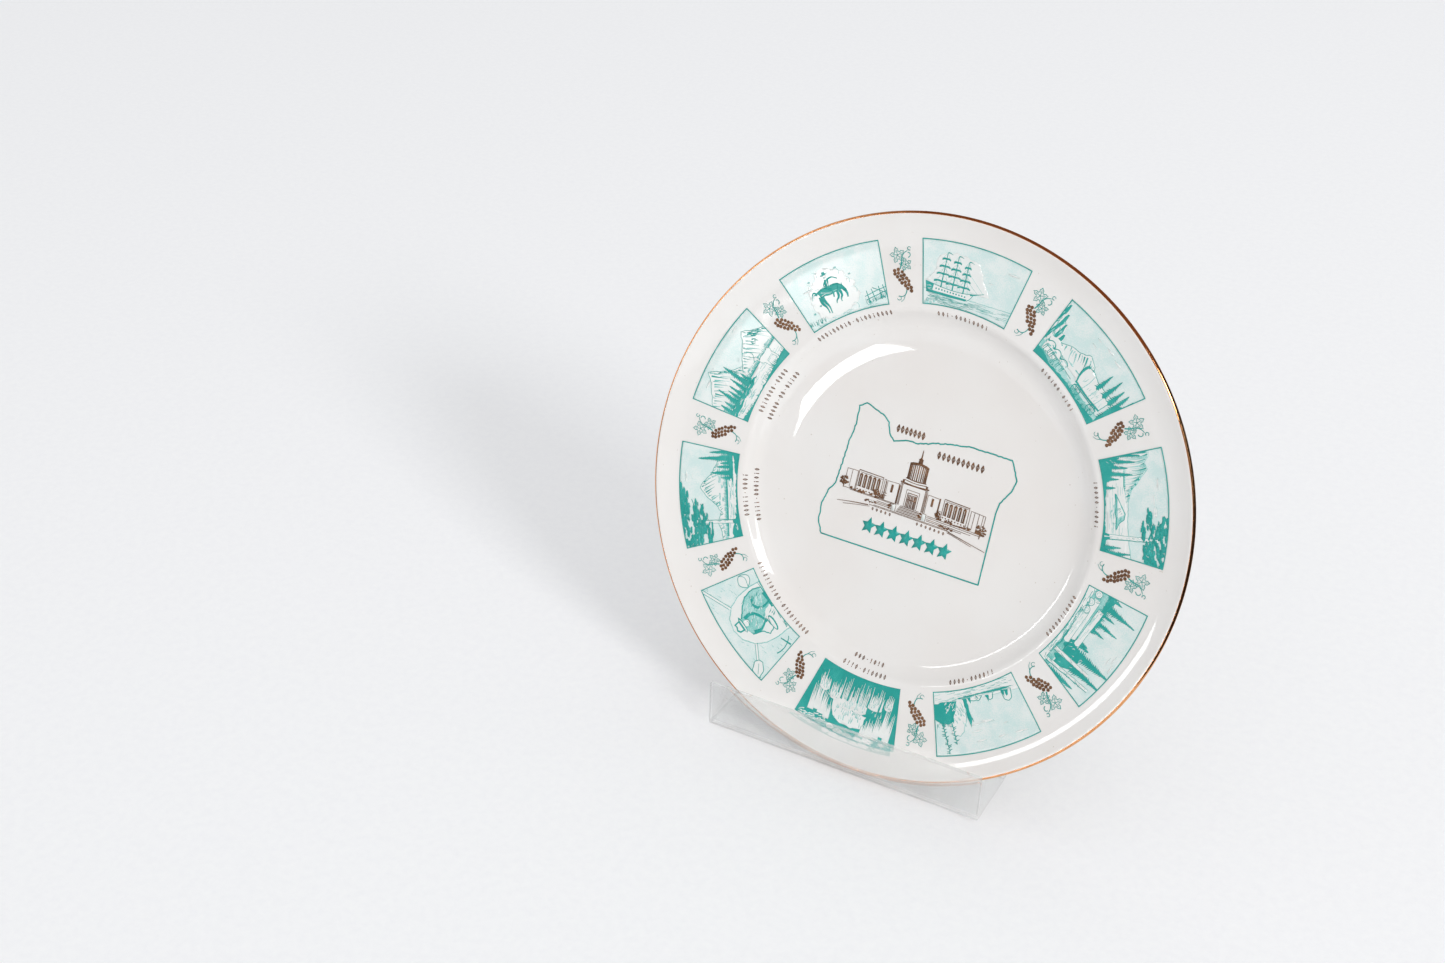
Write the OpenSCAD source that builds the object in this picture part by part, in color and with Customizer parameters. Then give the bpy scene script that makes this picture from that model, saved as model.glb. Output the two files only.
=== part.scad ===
// Souvenir plate standing in a clear bent-sheet display stand.
// Millimetres, +Z up. The plate faces -Y and leans back, and the stand rests on z = 0.
// X = 0 is the plate's axis, and y = 0 is halfway through the depth of the whole.

/* [Plate] */
// Diameter over the gilded edge
plate_d = 235; // [230:1:242]
// Thickness of the china at its edge
edge_t = 2.3; // [2:0.1:3]
// Radius of the flat middle of the well
floor_r = 50; // [46:1:54]
// Thickness of the china under the floor
base_t = 4.4; // [3.6:0.1:6]
// Height of the foot ring under the base
foot_h = 2.6; // [2.2:0.1:3.4]
// Outer radius of the foot ring
foot_r = 67.5; // [66:0.5:68]
// Slope that the floor's gentle dish reaches at its edge
dish_slope = 9; // [8:0.5:11]
// Slope of the well's wall
wall_slope = 40; // [36:1:40]
// Slope of the broad rim
rim_slope = 8.5; // [7:0.5:10]
// Slope where the rim turns up at its edge
edge_slope = 28; // [24:1:32]
// Turn of the plate about its own axis in the stand
plate_turn = -4; // [-30:0.1:30]

/* [Printed decoration] */
// Inner radius of a vignette
vignette_in = 80.4; // [80:0.2:84]
// Outer radius of a vignette
vignette_out = 106.8; // [100:0.2:108]
// Half of the angle that a vignette spans
vignette_half = 12.86; // [10:0.02:13]
// Radius of the outer line of a caption ornament
caption_r = 77.2; // [76.8:0.1:78]
// Width of the region outline in the well
region_w = 80; // [70:1:82]
// Height of the region outline in the well
region_h = 60; // [58:1:64]
// Width of the printed region line
region_line = 0.6; // [0.4:0.1:1]
// Turn of the centre print against the rim's print
centre_turn = 1.5; // [-5:0.1:5]
// Thickness of a printed or gilded film
film_t = 0.12; // [0.1:0.01:0.2]

/* [Stand] */
// Width of the bent sheet
stand_w = 126; // [110:1:160]
// Thickness of the sheet
sheet_t = 2; // [1.5:0.1:2.5]
// Height of the front lip
lip_h = 22.5; // [12:0.5:30]
// Lean of the front lip towards the plate
lip_lean = 4; // [0:1:6]
// Distance from the lip's front to the back panel's foot
ledge_depth = 33; // [31:0.5:36]
// Distance below the plate's axis at which the top fold bears on the foot ring
fold_drop = 35; // [30:1:45]
// Distance from the lip's front to the rear leg's foot
rear_foot_y = 84; // [78:1:86]
// Sideways shift of the stand from the plate's axis
stand_shift = -4.4; // [-15:0.1:15]
// Lean of the plate from upright
lean = 20.5; // [18:0.5:23]

/* [Hidden] */
SCENES = ["rider", "ship", "wagon", "lake", "timber",
          "coast", "cave", "prospector", "snow_peak", "mountains"];

china = "#ECEAE6";
gold = "#C08A4E";
teal = "#1FA39A";
teal_tint = "#D3E7E5";
gold_brown = "#8A6742";
clear_sheet = [0.9, 0.95, 0.95, 0.35];

// Room between the plate and the stand, and between a film and the glaze
seat_gap = 0.3;
film_gap = 0.04;
plate_fn = 96;
dot_fn = 24;

// Rounded edge of the china, and the same over its gilding
edge_r = edge_t / 2;
edge_out_r = edge_r + film_gap + film_t;
edge_c = plate_d / 2 - edge_out_r;
gold_from = 110;
gold_to = -40;

// Face of the plate from the floor out: dish, cove, wall, verge, rim and flare.
// Heights are above the plane of the foot ring.
cove_r = 14;
verge_r = 5;
cove_start = 68.9;
rim_start = 79.2;
flare_start = 103;
floor_z = foot_h + base_t;
dish_r = (cove_start - floor_r) / sin(dish_slope);
dish_centre = [floor_r, floor_z + dish_r];
dish_z = floor_z + dish_r * (1 - cos(dish_slope));
cove_centre = [cove_start - cove_r * sin(dish_slope), dish_z + cove_r * cos(dish_slope)];
cove_end = cove_centre[0] + cove_r * sin(wall_slope);
cove_z = cove_centre[1] - cove_r * cos(wall_slope);
wall_end = rim_start - verge_r * (sin(wall_slope) - sin(rim_slope));
wall_z = cove_z + (wall_end - cove_end) * tan(wall_slope);
rim_z = wall_z + verge_r * (cos(rim_slope) - cos(wall_slope));
verge_centre = [rim_start + verge_r * sin(rim_slope), rim_z - verge_r * cos(rim_slope)];
flare_z = rim_z + (flare_start - rim_start) * tan(rim_slope);
flare_end = edge_c - edge_r * sin(edge_slope);
flare_r = (flare_end - flare_start) / (sin(edge_slope) - sin(rim_slope));
flare_centre = [flare_start - flare_r * sin(rim_slope), flare_z + flare_r * cos(rim_slope)];
edge_z = flare_centre[1] - (flare_r + edge_r) * cos(edge_slope);

// Underside: the rim thickens inwards, then a fillet runs to the outer wall above the foot
verge_t = 3.2;
under_slope = 10.7;
outer_wall_slope = 34;
under_r = 8;
foot_round = 1;
foot_w = 4;
under_start = [rim_start + 1, rim_z + tan(rim_slope) - verge_t / cos(rim_slope)];
under_centre = under_start + under_r * [sin(under_slope), -cos(under_slope)];
under_end = under_centre + under_r * [-sin(outer_wall_slope), cos(outer_wall_slope)];
outer_wall_r = foot_r + 1.2;
outer_wall_z = under_end[1] - (under_end[0] - outer_wall_r) * tan(outer_wall_slope);

// Seat of the plate's rounded edge, as distances from the lip's front and from the table
bend_r = 2;
up = [sin(lean), cos(lean)];
out = [-cos(lean), sin(lean)];
seat_clear = sheet_t + seat_gap + edge_out_r;
seat = [seat_clear + sheet_t * tan(lip_lean), seat_clear];
plate_centre = seat + edge_c * up;
foot_drop = edge_z - foot_round;
y_back = plate_centre[0] + (foot_r - foot_round) * up[0] - foot_drop * out[0] + foot_round;
y_mid = y_back / 2;

// Middle line of the bent sheet: lip top, lip bend, ledge bend, top fold and rear foot
ledge_bend_r = 2.5;
fold_r = 3.5;
lip_foot = [bend_r + sheet_t / 2 - bend_r / tan((90 - lip_lean) / 2), sheet_t / 2];
lip_top = lip_foot + (lip_h - sheet_t / 2) * [tan(lip_lean), 1];
ledge_back = [ledge_depth, sheet_t / 2];
rear_foot = [rear_foot_y - sheet_t, 0];
fold_centre = plate_centre - fold_drop * up - (edge_z + seat_gap + fold_r + sheet_t / 2) * out;
panel_way = turned(unit(fold_centre - ledge_back), asin(fold_r / norm(fold_centre - ledge_back)));
leg_way = turned(unit(fold_centre - rear_foot), -asin(fold_r / norm(fold_centre - rear_foot)));
fold_top = ledge_back + panel_way * cross(rear_foot - ledge_back, leg_way) / cross(panel_way, leg_way);

// Centre print, whose middle sits a little above the plate's axis
centre_y = 1.7;

// Letters of a caption become lozenges: how many stand on each line, outer line first
CAPTION_LINES = [[19], [12], [11], [10], [11], [11], [11, 8], [20], [10, 13], [12, 14]];
caption_pitch = 1.42;
caption_line_step = 4;
lozenge_w = 1;
lozenge_h = 1.8;

// Height of the plate's face at a radius, and its slope there
function face_z(r) =
    r < floor_r ? floor_z :
    r < cove_start ? dish_centre[1] - sqrt(dish_r ^ 2 - (r - dish_centre[0]) ^ 2) :
    r < cove_end ? cove_centre[1] - sqrt(cove_r ^ 2 - (r - cove_centre[0]) ^ 2) :
    r < wall_end ? cove_z + (r - cove_end) * tan(wall_slope) :
    r < rim_start ? verge_centre[1] + sqrt(verge_r ^ 2 - (r - verge_centre[0]) ^ 2) :
    r < flare_start ? rim_z + (r - rim_start) * tan(rim_slope) :
    flare_centre[1] - sqrt(flare_r ^ 2 - (r - flare_centre[0]) ^ 2);
function face_slope(r) = atan((face_z(r + 0.05) - face_z(r - 0.05)) / 0.1);

function unit(v) = v / norm(v);
function turned(v, a) = [v[0] * cos(a) - v[1] * sin(a), v[0] * sin(a) + v[1] * cos(a)];
function reversed(list) = [for (i = [len(list) - 1:-1:0]) list[i]];
function arc(centre, r, from, to, n) =
    [for (i = [0:n]) centre + r * turned([1, 0], from + (to - from) * i / n)];
function left_of(a, b) = turned(unit(b - a), 90);

// One bend of the sheet at b, on the surface that lies off to the left of the middle line
function bend(a, b, c, r, off, n = 8) =
    let (d = unit(b - a),
         e = unit(c - b),
         side = sign(cross(d, e)),
         phi = acos(d * e),
         left = left_of(a, b),
         centre = b - d * r * tan(phi / 2) + side * r * left)
    [for (i = [0:n]) centre - side * (r - side * off) * turned(left, side * phi * i / n)];

// Where the rear leg's surface meets the table
function leg_end(off) =
    let (d = unit(rear_foot - fold_top),
         p = rear_foot + off * left_of(fold_top, rear_foot))
    p - d * p[1] / d[1];

function sheet_surface(off) = concat(
    [lip_top + off * left_of(lip_top, lip_foot)],
    bend(lip_top, lip_foot, ledge_back, bend_r, off),
    bend(lip_foot, ledge_back, fold_top, ledge_bend_r, off),
    bend(ledge_back, fold_top, rear_foot, fold_r, off),
    [leg_end(off)]);

// A strip of even width along open points
function strip(points, w) =
    let (last = len(points) - 1,
         side = [for (i = [0:last]) w / 2 * left_of(points[max(i - 1, 0)], points[min(i + 1, last)])])
    concat([for (i = [0:last]) points[i] + side[i]],
           [for (i = [last:-1:0]) points[i] - side[i]]);

module in_place() {
    translate([0, -y_mid, 0])
        children();
}

module plate_frame() {
    in_place()
        translate([0, plate_centre[0], plate_centre[1]])
            rotate([90 - lean, 0, 0])
                translate([0, 0, -edge_z])
                    rotate([0, 0, plate_turn])
                        children();
}

// Lays a flat film on the face at a radius and angle, its own +Y pointing outwards
module on_face(r, angle) {
    rotate([0, 0, angle - 90])
        translate([0, r, face_z(r)])
            rotate([face_slope(r), 0, 0])
                translate([0, 0, film_gap])
                    linear_extrude(film_t)
                        children();
}

// Lays a flat film on the floor of the well
module on_floor() {
    rotate([0, 0, centre_turn])
        translate([0, centre_y, floor_z + film_gap])
            linear_extrude(film_t)
                children();
}

module lozenge(w, h) {
    polygon([[0, h / 2], [w / 2, 0], [0, -h / 2], [-w / 2, 0]]);
}

module star(r) {
    polygon([for (i = [0:9]) (i % 2 == 0 ? r : r * 0.42) * turned([0, 1], 36 * i)]);
}

module acrylic_stand() {
    color(clear_sheet)
        in_place()
            translate([stand_shift - stand_w / 2, 0, 0])
                rotate([90, 0, 90])
                    linear_extrude(stand_w)
                        polygon(concat(sheet_surface(sheet_t / 2),
                                       reversed(sheet_surface(-sheet_t / 2))));
}

module china_plate() {
    color(china)
        plate_frame()
            rotate_extrude($fn = plate_fn)
                polygon(concat(
                    [[0, floor_z]],
                    arc(dish_centre, dish_r, -90, dish_slope - 90, 6),
                    arc(cove_centre, cove_r, dish_slope - 90, wall_slope - 90, 12),
                    arc(verge_centre, verge_r, 90 + wall_slope, 90 + rim_slope, 10),
                    arc(flare_centre, flare_r, rim_slope - 90, edge_slope - 90, 12),
                    arc([edge_c, edge_z], edge_r, 82 + edge_slope, edge_slope - 82, 12),
                    arc(flare_centre, flare_r + edge_t, edge_slope - 90, rim_slope - 90, 12),
                    arc(under_centre, under_r, 90 + under_slope, 90 + outer_wall_slope, 6),
                    [[outer_wall_r, outer_wall_z], [foot_r, outer_wall_z - 1.6]],
                    arc([foot_r - foot_round, foot_round], foot_round, 0, -90, 4),
                    arc([foot_r - foot_w + foot_round, foot_round], foot_round, -90, -180, 4),
                    arc([foot_r - foot_w - 1, foot_h - 1], 1, 0, 90, 4),
                    [[0, foot_h]]));
}

module gold_rim_band() {
    color(gold)
        plate_frame()
            rotate_extrude($fn = plate_fn)
                polygon(concat(arc([edge_c, edge_z], edge_out_r, gold_from, gold_to, 12),
                               arc([edge_c, edge_z], edge_r + film_gap, gold_to, gold_from, 12)));
}

function scene_angle(i) = 126 - 36 * i;
function face_line(lift, n = 8) =
    [for (i = [0:n])
        let (r = vignette_in + (vignette_out - vignette_in) * i / n)
        [r, face_z(r) + lift]];

module vignette(i) {
    color(teal_tint)
        plate_frame()
            rotate([0, 0, scene_angle(i) - vignette_half])
                rotate_extrude(angle = 2 * vignette_half, $fn = plate_fn)
                    polygon(concat(face_line(film_gap), reversed(face_line(film_gap + film_t))));
}

module caption(i) {
    color(gold_brown)
        plate_frame()
            for (line = [0:len(CAPTION_LINES[i]) - 1])
                let (count = CAPTION_LINES[i][line], r = caption_r - caption_line_step * line)
                for (k = [0:count - 1])
                    on_face(r, scene_angle(i) + caption_pitch * (k - (count - 1) / 2))
                        lozenge(lozenge_w, lozenge_h);
}

// A spray hangs halfway between two vignettes: leaves outside, grapes and a tendril inside
spray_r = 92;
grape_r = 0.72;
bunch_top = [-2.9, 2];
bunch_step = [0.84, -1.25];
BUNCH_ROWS = [2, 3, 3, 3, 3, 2, 2, 1];

module grape_bunch(i) {
    color(gold_brown)
        plate_frame()
            on_face(spray_r, scene_angle(i) - 18)
                for (row = [0:len(BUNCH_ROWS) - 1])
                    for (k = [0:BUNCH_ROWS[row] - 1])
                        translate(bunch_top + row * bunch_step
                                  + (k - (BUNCH_ROWS[row] - 1) / 2) * [1.5, 0.35])
                            circle(grape_r, $fn = dot_fn);
}

function leaf_points(size) =
    [for (a = [0:15:345]) size * (1 + 0.22 * cos(5 * a)) * turned([0, 1], a)];

module leaf_outline(size, line = 0.3) {
    difference() {
        polygon(leaf_points(size));
        polygon(leaf_points(size - line));
    }
}

module vine_leaves(i) {
    color(teal)
        plate_frame()
            on_face(spray_r, scene_angle(i) - 18) {
                for (spot = [[-2.4, 8.4, 15], [1.6, 5.6, -70]])
                    translate([spot[0], spot[1]])
                        rotate(spot[2])
                            leaf_outline(2.1);
                translate([3.2, 9.6])
                    polygon(strip([for (a = [0:15:270]) (0.5 + a / 190) * turned([1, 0], a)], 0.3));
                translate([-1.6, -9])
                    polygon(strip([for (a = [0:15:330]) (0.4 + a / 260) * turned([1, 0], a)], 0.3));
            }
}

// Outline of a region 80 x 60 mm: coast on the left, river along the top and border at the right
REGION = [
    [-38, -30], [-40.5, -25], [-41, -17], [-39, -10], [-37, -7], [-36, 3], [-35.5, 12], [-34, 20],
    [-34.5, 28], [-31.5, 30], [-27, 28.5], [-22.5, 27], [-20, 25], [-18.5, 20.5], [-16, 18],
    [-10, 20], [-5.5, 20], [2, 22.5], [8, 24], [12, 24.5], [17, 25.5], [35, 25.5], [36.5, 23],
    [39, 18], [38, 13], [34.5, 7], [34, 2.5], [34.5, -28.5]];
region_shape = [for (p = REGION) [p[0] * region_w / 80, p[1] * region_h / 60]];

// Moves a clockwise outline inwards by w
function inset(points, w) =
    let (n = len(points))
    [for (i = [0:n - 1])
        let (a = left_of(points[(i + n - 1) % n], points[i]),
             b = left_of(points[i], points[(i + 1) % n]))
        points[i] - w * (a + b) / (1 + a * b)];

module region_outline() {
    color(teal)
        plate_frame()
            on_floor()
                difference() {
                    polygon(region_shape);
                    polygon(inset(region_shape, region_line));
                }
}

// Civic hall with a dome: a drum on a central block, a wing at each side and a flight of steps
hall_y = -7.2;
wing_h = 8.6;
wing_w = 20;
block_w = 15;
block_h = 10.6;
drum_w = 9;
drum_h = 5.5;
wing_windows = 6;

module wing(side) {
    translate([side * (block_w / 2 + 0.4 + wing_w / 2) - wing_w / 2, hall_y])
        difference() {
            square([wing_w, wing_h]);
            for (k = [0:wing_windows - 1])
                translate([1.6 + k * (wing_w - 2.4) / wing_windows, 2])
                    square([1.6, wing_h - 3.6]);
        }
}

module domed_building() {
    color(gold_brown)
        plate_frame()
            on_floor() {
                wing(-1);
                wing(1);
                difference() {
                    translate([-block_w / 2, hall_y])
                        square([block_w, block_h]);
                    for (x = [-5.6, -2.8, 0, 2.8, 5.6])
                        translate([x - 0.6, hall_y])
                            square([1.2, block_h - 2.4]);
                }
                translate([-drum_w / 2, hall_y + block_h + 0.3])
                    square([drum_w, drum_h]);
                translate([0, hall_y + block_h + drum_h + 0.6])
                    intersection() {
                        circle(drum_w / 2, $fn = 48);
                        translate([-drum_w, 0])
                            square([2 * drum_w, drum_w]);
                    }
                translate([-0.5, hall_y + block_h + drum_h + drum_w / 2 + 0.9])
                    square([1, 3]);
                for (k = [0:2])
                    translate([-9 - 1.5 * k, hall_y - 0.9 - 0.9 * k])
                        square([18 + 3 * k, 0.5]);
                for (side = [-1, 1])
                    translate([side * 31, hall_y + 1.2])
                        circle(2.3, $fn = dot_fn);
            }
}

module star_row() {
    color(teal)
        plate_frame()
            on_floor()
                for (k = [0:6])
                    translate([-18.4 + 5.6 * k, -19.8])
                        star(2.7);
}

module upper_ornament() {
    color(gold_brown)
        plate_frame()
            on_floor() {
                for (k = [0:6])
                    translate([-15.4 + 1.9 * k, 23.8])
                        lozenge(1.4, 3.2);
                for (k = [0:9])
                    translate([4.6 + 2.15 * k, 18.2])
                        lozenge(1.4, 3.2);
            }
}

module lower_ornament() {
    color(gold_brown)
        plate_frame()
            on_floor()
                for (x = [for (k = [0:4]) -18 + 2 * k, for (k = [0:6]) 2.6 + 2 * k])
                    translate([x, -12.4])
                        circle(0.5, $fn = dot_fn);
}

acrylic_stand();
china_plate();
gold_rim_band();
region_outline();
domed_building();
star_row();
upper_ornament();
lower_ornament();
for (i = [0:9]) {
    vignette(i);
    caption(i);
    grape_bunch(i);
    vine_leaves(i);
}
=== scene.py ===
import math
import random

import bmesh
import bpy
from mathutils import Matrix, Vector


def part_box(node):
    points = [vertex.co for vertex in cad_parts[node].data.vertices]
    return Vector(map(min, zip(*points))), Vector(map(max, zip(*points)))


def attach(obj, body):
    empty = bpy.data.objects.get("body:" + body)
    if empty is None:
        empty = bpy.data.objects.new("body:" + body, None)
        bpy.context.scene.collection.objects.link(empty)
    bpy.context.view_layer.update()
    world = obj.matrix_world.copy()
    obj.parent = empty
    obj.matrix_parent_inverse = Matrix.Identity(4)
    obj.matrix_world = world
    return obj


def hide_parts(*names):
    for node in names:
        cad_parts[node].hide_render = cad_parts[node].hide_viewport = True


bl_info = {
    "name": "Souvenir plate in a clear stand",
    "version": (1, 0, 0),
    "blender": (4, 5, 0),
    "location": "3D View > Sidebar > Plate",
    "description": "Builds a gilded souvenir plate with printed pictures, its clear stand and a studio",
    "category": "Object",
}

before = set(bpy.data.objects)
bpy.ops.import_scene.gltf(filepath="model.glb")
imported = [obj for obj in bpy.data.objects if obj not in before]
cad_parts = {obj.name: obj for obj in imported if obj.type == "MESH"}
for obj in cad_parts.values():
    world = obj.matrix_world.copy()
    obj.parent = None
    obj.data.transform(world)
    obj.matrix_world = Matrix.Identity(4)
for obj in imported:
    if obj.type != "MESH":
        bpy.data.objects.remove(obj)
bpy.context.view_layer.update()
STAND_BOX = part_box("acrylic_stand")

MM = 0.001
SCENES = ("rider", "ship", "wagon", "lake", "timber", "coast", "cave", "prospector", "snow_peak", "mountains")

# The plate's own frame: u runs to the right, v up its face and n out of its face.
LEAN = math.radians(20.5)
U = Vector((1, 0, 0))
V = Vector((0, math.sin(LEAN), math.cos(LEAN)))
N = Vector((0, -math.cos(LEAN), math.sin(LEAN)))
PLATE_TURN = -4
FIRST_PICTURE, PICTURE_PITCH = 126, 36    # degrees round the rim
CENTRE_TURN, CENTRE_Y = 1.5, 1.7          # the centre print's own turn in degrees and rise in mm
ARC_R = 93.6                              # radius at which a rim drawing keeps its width, in mm

# Profile of the china, in mm from its axis and above the plane of its foot ring
EDGE_R = 1.15
EDGE_OUT_R = 1.31
EDGE_C = 116.19
EDGE_Z = 20.271
FLOOR_R, FLOOR_Z = 50, 7
DISH_SLOPE, DISH_R = 9, 120.817
COVE_START, COVE_R, WALL_SLOPE = 68.9, 14, 40
COVE_C = (66.7099, 22.3151)
COVE_END, COVE_Z = 75.7089, 11.5905
WALL_END = 76.7251
VERGE_R, VERGE_C = 5, (79.939, 8.61292)
RIM_START, RIM_Z, RIM_SLOPE = 79.2, 13.558, 8.5
FLARE_START, FLARE_R, FLARE_C, EDGE_SLOPE = 103, 39.3273, (97.1871, 56.0103), 28
PLATE_CENTRE = Vector((0, 1.0505, 112.442))
FOOT_Y = -43.3899


def linear(hex_colour):
    """Turns an sRGB hex colour into the linear colour that the shaders take."""
    parts = [int(hex_colour[i:i + 2], 16) / 255 for i in (1, 3, 5)]
    return tuple(c / 12.92 if c <= 0.04045 else ((c + 0.055) / 1.055) ** 2.4 for c in parts) + (1.0,)


def face_z(r):
    """Height of the china's face at radius r, in mm above the plane of the foot ring."""
    if r < FLOOR_R:
        return FLOOR_Z
    if r < COVE_START:
        return FLOOR_Z + DISH_R - math.sqrt(DISH_R ** 2 - (r - FLOOR_R) ** 2)
    if r < COVE_END:
        return COVE_C[1] - math.sqrt(COVE_R ** 2 - (r - COVE_C[0]) ** 2)
    if r < WALL_END:
        return COVE_Z + (r - COVE_END) * math.tan(math.radians(WALL_SLOPE))
    if r < RIM_START:
        return VERGE_C[1] + math.sqrt(VERGE_R ** 2 - (r - VERGE_C[0]) ** 2)
    if r < FLARE_START:
        return RIM_Z + (r - RIM_START) * math.tan(math.radians(RIM_SLOPE))
    return FLARE_C[1] - math.sqrt(FLARE_R ** 2 - (r - FLARE_C[0]) ** 2)


def on_plate(x, y, z):
    """Place in the row's frame, in metres, of a point of the plate's own frame, in mm."""
    return MM * (PLATE_CENTRE + x * U + y * V + (z - EDGE_Z) * N)


def arc(centre, r, start, end, steps):
    angles = [math.radians(start + (end - start) * i / steps) for i in range(steps + 1)]
    return [(centre[0] + r * math.cos(a), centre[1] + r * math.sin(a)) for a in angles]


def along(points, t):
    """Point at share t of the way along points."""
    place = t * (len(points) - 1)
    i = min(int(place), len(points) - 2)
    k = place - i
    return tuple(a + (b - a) * k for a, b in zip(points[i], points[i + 1]))


# ---------------------------------------------------------------- materials

def add_node(tree, kind, inputs=None, **settings):
    """Adds a node, sets its properties, and fills its inputs with values or links."""
    made = tree.nodes.new(kind)
    for name, value in settings.items():
        setattr(made, name, value)
    for socket, value in (inputs or {}).items():
        if isinstance(value, bpy.types.NodeSocket):
            tree.links.new(value, made.inputs[socket])
        else:
            made.inputs[socket].default_value = value
    return made


def new_material(name, **shader):
    """Starts a material with a Principled shader and returns it with its tree, shader and object coordinates."""
    material = bpy.data.materials.new(name)
    material.use_nodes = True
    tree = material.node_tree
    principled = tree.nodes["Principled BSDF"]
    for socket, value in shader.items():
        principled.inputs[socket.replace("_", " ")].default_value = value
    place = add_node(tree, "ShaderNodeTexCoord").outputs["Object"]
    return material, tree, principled, place


def noise(tree, place, size_mm, detail=2.0, **inputs):
    """Noise whose blotches are about size_mm across."""
    values = {"Vector": place, "Scale": 1 / (size_mm * MM), "Detail": detail}
    values.update(inputs)
    return add_node(tree, "ShaderNodeTexNoise", values).outputs["Fac"]


def ramp(tree, value, low, high, to_low=0.0, to_high=1.0):
    """Maps low..high of a value to to_low..to_high and clamps it."""
    return add_node(tree, "ShaderNodeMapRange", {
        "Value": value, "From Min": low, "From Max": high, "To Min": to_low, "To Max": to_high,
    }).outputs["Result"]


def blend_colours(tree, share, one, other, mode="MIX"):
    mix = add_node(tree, "ShaderNodeMix", data_type="RGBA", blend_type=mode)
    for socket, value in zip((mix.inputs[0], mix.inputs[6], mix.inputs[7]), (share, one, other)):
        if isinstance(value, bpy.types.NodeSocket):
            tree.links.new(value, socket)
        else:
            socket.default_value = value
    return mix.outputs[2]


def bump(tree, principled, height, depth_mm, strength=1.0):
    made = add_node(tree, "ShaderNodeBump", {"Height": height, "Strength": strength, "Distance": depth_mm * MM})
    tree.links.new(made.outputs["Normal"], principled.inputs["Normal"])


def china_glaze():
    # Slip-cast china fired with a clear gloss glaze: an ivory white body that shades softly, sharp
    # reflections that ripple a little, a few iron specks, and a bare matt ring where it stood in the kiln.
    material, tree, shader, place = new_material("china_glaze", Roughness=0.06, IOR=1.52)
    own = add_node(tree, "ShaderNodeMapping", {"Vector": place}, vector_type="TEXTURE").outputs["Vector"]
    mapping = own.node
    mapping.inputs["Location"].default_value = on_plate(0, 0, 0)
    mapping.inputs["Rotation"].default_value = (math.pi / 2 - LEAN, 0, 0)
    height = add_node(tree, "ShaderNodeSeparateXYZ", {"Vector": own}).outputs["Z"]
    body = blend_colours(tree, ramp(tree, noise(tree, place, 45, 3), 0.35, 0.7),
                         linear(bpy.context.scene.plate_colours.china), linear("#ECE8E4"))
    specks = ramp(tree, noise(tree, place, 1.1, 0), 0.86, 0.88)
    body = blend_colours(tree, ramp(tree, specks, 0, 1, 0, 0.35), body, linear("#A8957C"))
    bare = ramp(tree, height, 0.25 * MM, 0.5 * MM, 1, 0)
    body = blend_colours(tree, bare, body, linear("#CFC3AF"))
    tree.links.new(body, shader.inputs["Base Color"])
    wiped = ramp(tree, noise(tree, place, 20, 3), 0.3, 0.8, 0.02, 0.045)
    rough = add_node(tree, "ShaderNodeMath", {0: wiped, 1: ramp(tree, bare, 0, 1, 0, 0.55)}, operation="ADD")
    tree.links.new(rough.outputs[0], shader.inputs["Roughness"])
    ripple = noise(tree, place, 9, 1)
    grit = add_node(tree, "ShaderNodeMath", {0: noise(tree, place, 0.4, 3), 1: bare}, operation="MULTIPLY")
    relief = add_node(tree, "ShaderNodeMath", {0: ripple, 1: grit.outputs[0]}, operation="ADD")
    bump(tree, shader, relief.outputs[0], 0.02, 0.6)
    return material


def bright_gold():
    # Bright liquid gold brushed on the edge and fired: a thin copper-toned mirror that shows the brush's
    # ripple, rubbed thin by handling in a few places until the white glaze shows.
    material, tree, shader, place = new_material("bright_gold", Metallic=1.0, Roughness=0.2)
    patchy = ramp(tree, noise(tree, place, 6, 3), 0.3, 0.75)
    gold = blend_colours(tree, patchy, linear(bpy.context.scene.plate_colours.gold), linear("#DE9A62"))
    worn = ramp(tree, noise(tree, place, 7, 4, Roughness=0.7), 0.735, 0.75)
    colour = blend_colours(tree, worn, gold, linear("#E6DDD2"))
    tree.links.new(colour, shader.inputs["Base Color"])
    tree.links.new(ramp(tree, worn, 0, 1, 1, 0.1), shader.inputs["Metallic"])
    tree.links.new(ramp(tree, noise(tree, place, 1.5, 3), 0.3, 0.7, 0.06, 0.16), shader.inputs["Roughness"])
    bump(tree, shader, noise(tree, place, 2.5, 2), 0.03, 0.5)
    return material


def fired_print(name, strong, weak, grain, low, high, **shader_values):
    """A litho transfer fired onto the glaze: ink whose strength follows fine grain and soft blotches."""
    material, tree, shader, place = new_material(name, **shader_values)
    fine = noise(tree, place, grain, 3, Roughness=0.65)
    broad = noise(tree, place, 7, 2)
    both = add_node(tree, "ShaderNodeMath", {0: fine, 1: broad}, operation="ADD").outputs[0]
    tree.links.new(blend_colours(tree, ramp(tree, both, low, high), strong, weak), shader.inputs["Base Color"])
    bump(tree, shader, fine, 0.004, 0.4)
    return material


def teal_ink():
    # Ceramic teal ink, solid where the drawing is dark: slightly mottled by the litho grain, low gloss.
    ink = bpy.context.scene.plate_colours.teal
    return fired_print("teal_ink", linear(ink), linear("#3DB4AB"), 0.35, 1.02, 1.4,
                       Roughness=0.28, IOR=1.5)


def teal_half_ink():
    # The same ink as broken litho tone, so it reads as mid grey-green with a visible grain.
    return fired_print("teal_half_ink", linear("#6BC0B8"), linear("#B9DEDA"), 0.45, 0.8, 1.25,
                       Roughness=0.25, IOR=1.5)


def teal_tint_ink():
    # Ground tone of the pictures, the ink at about a tenth: cloudy and grainy like a pencil wash.
    return fired_print("teal_tint_ink", linear("#CFE5E2"), linear("#E4ECE9"), 0.5, 0.85, 1.15,
                       Roughness=0.16, IOR=1.5)


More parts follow.
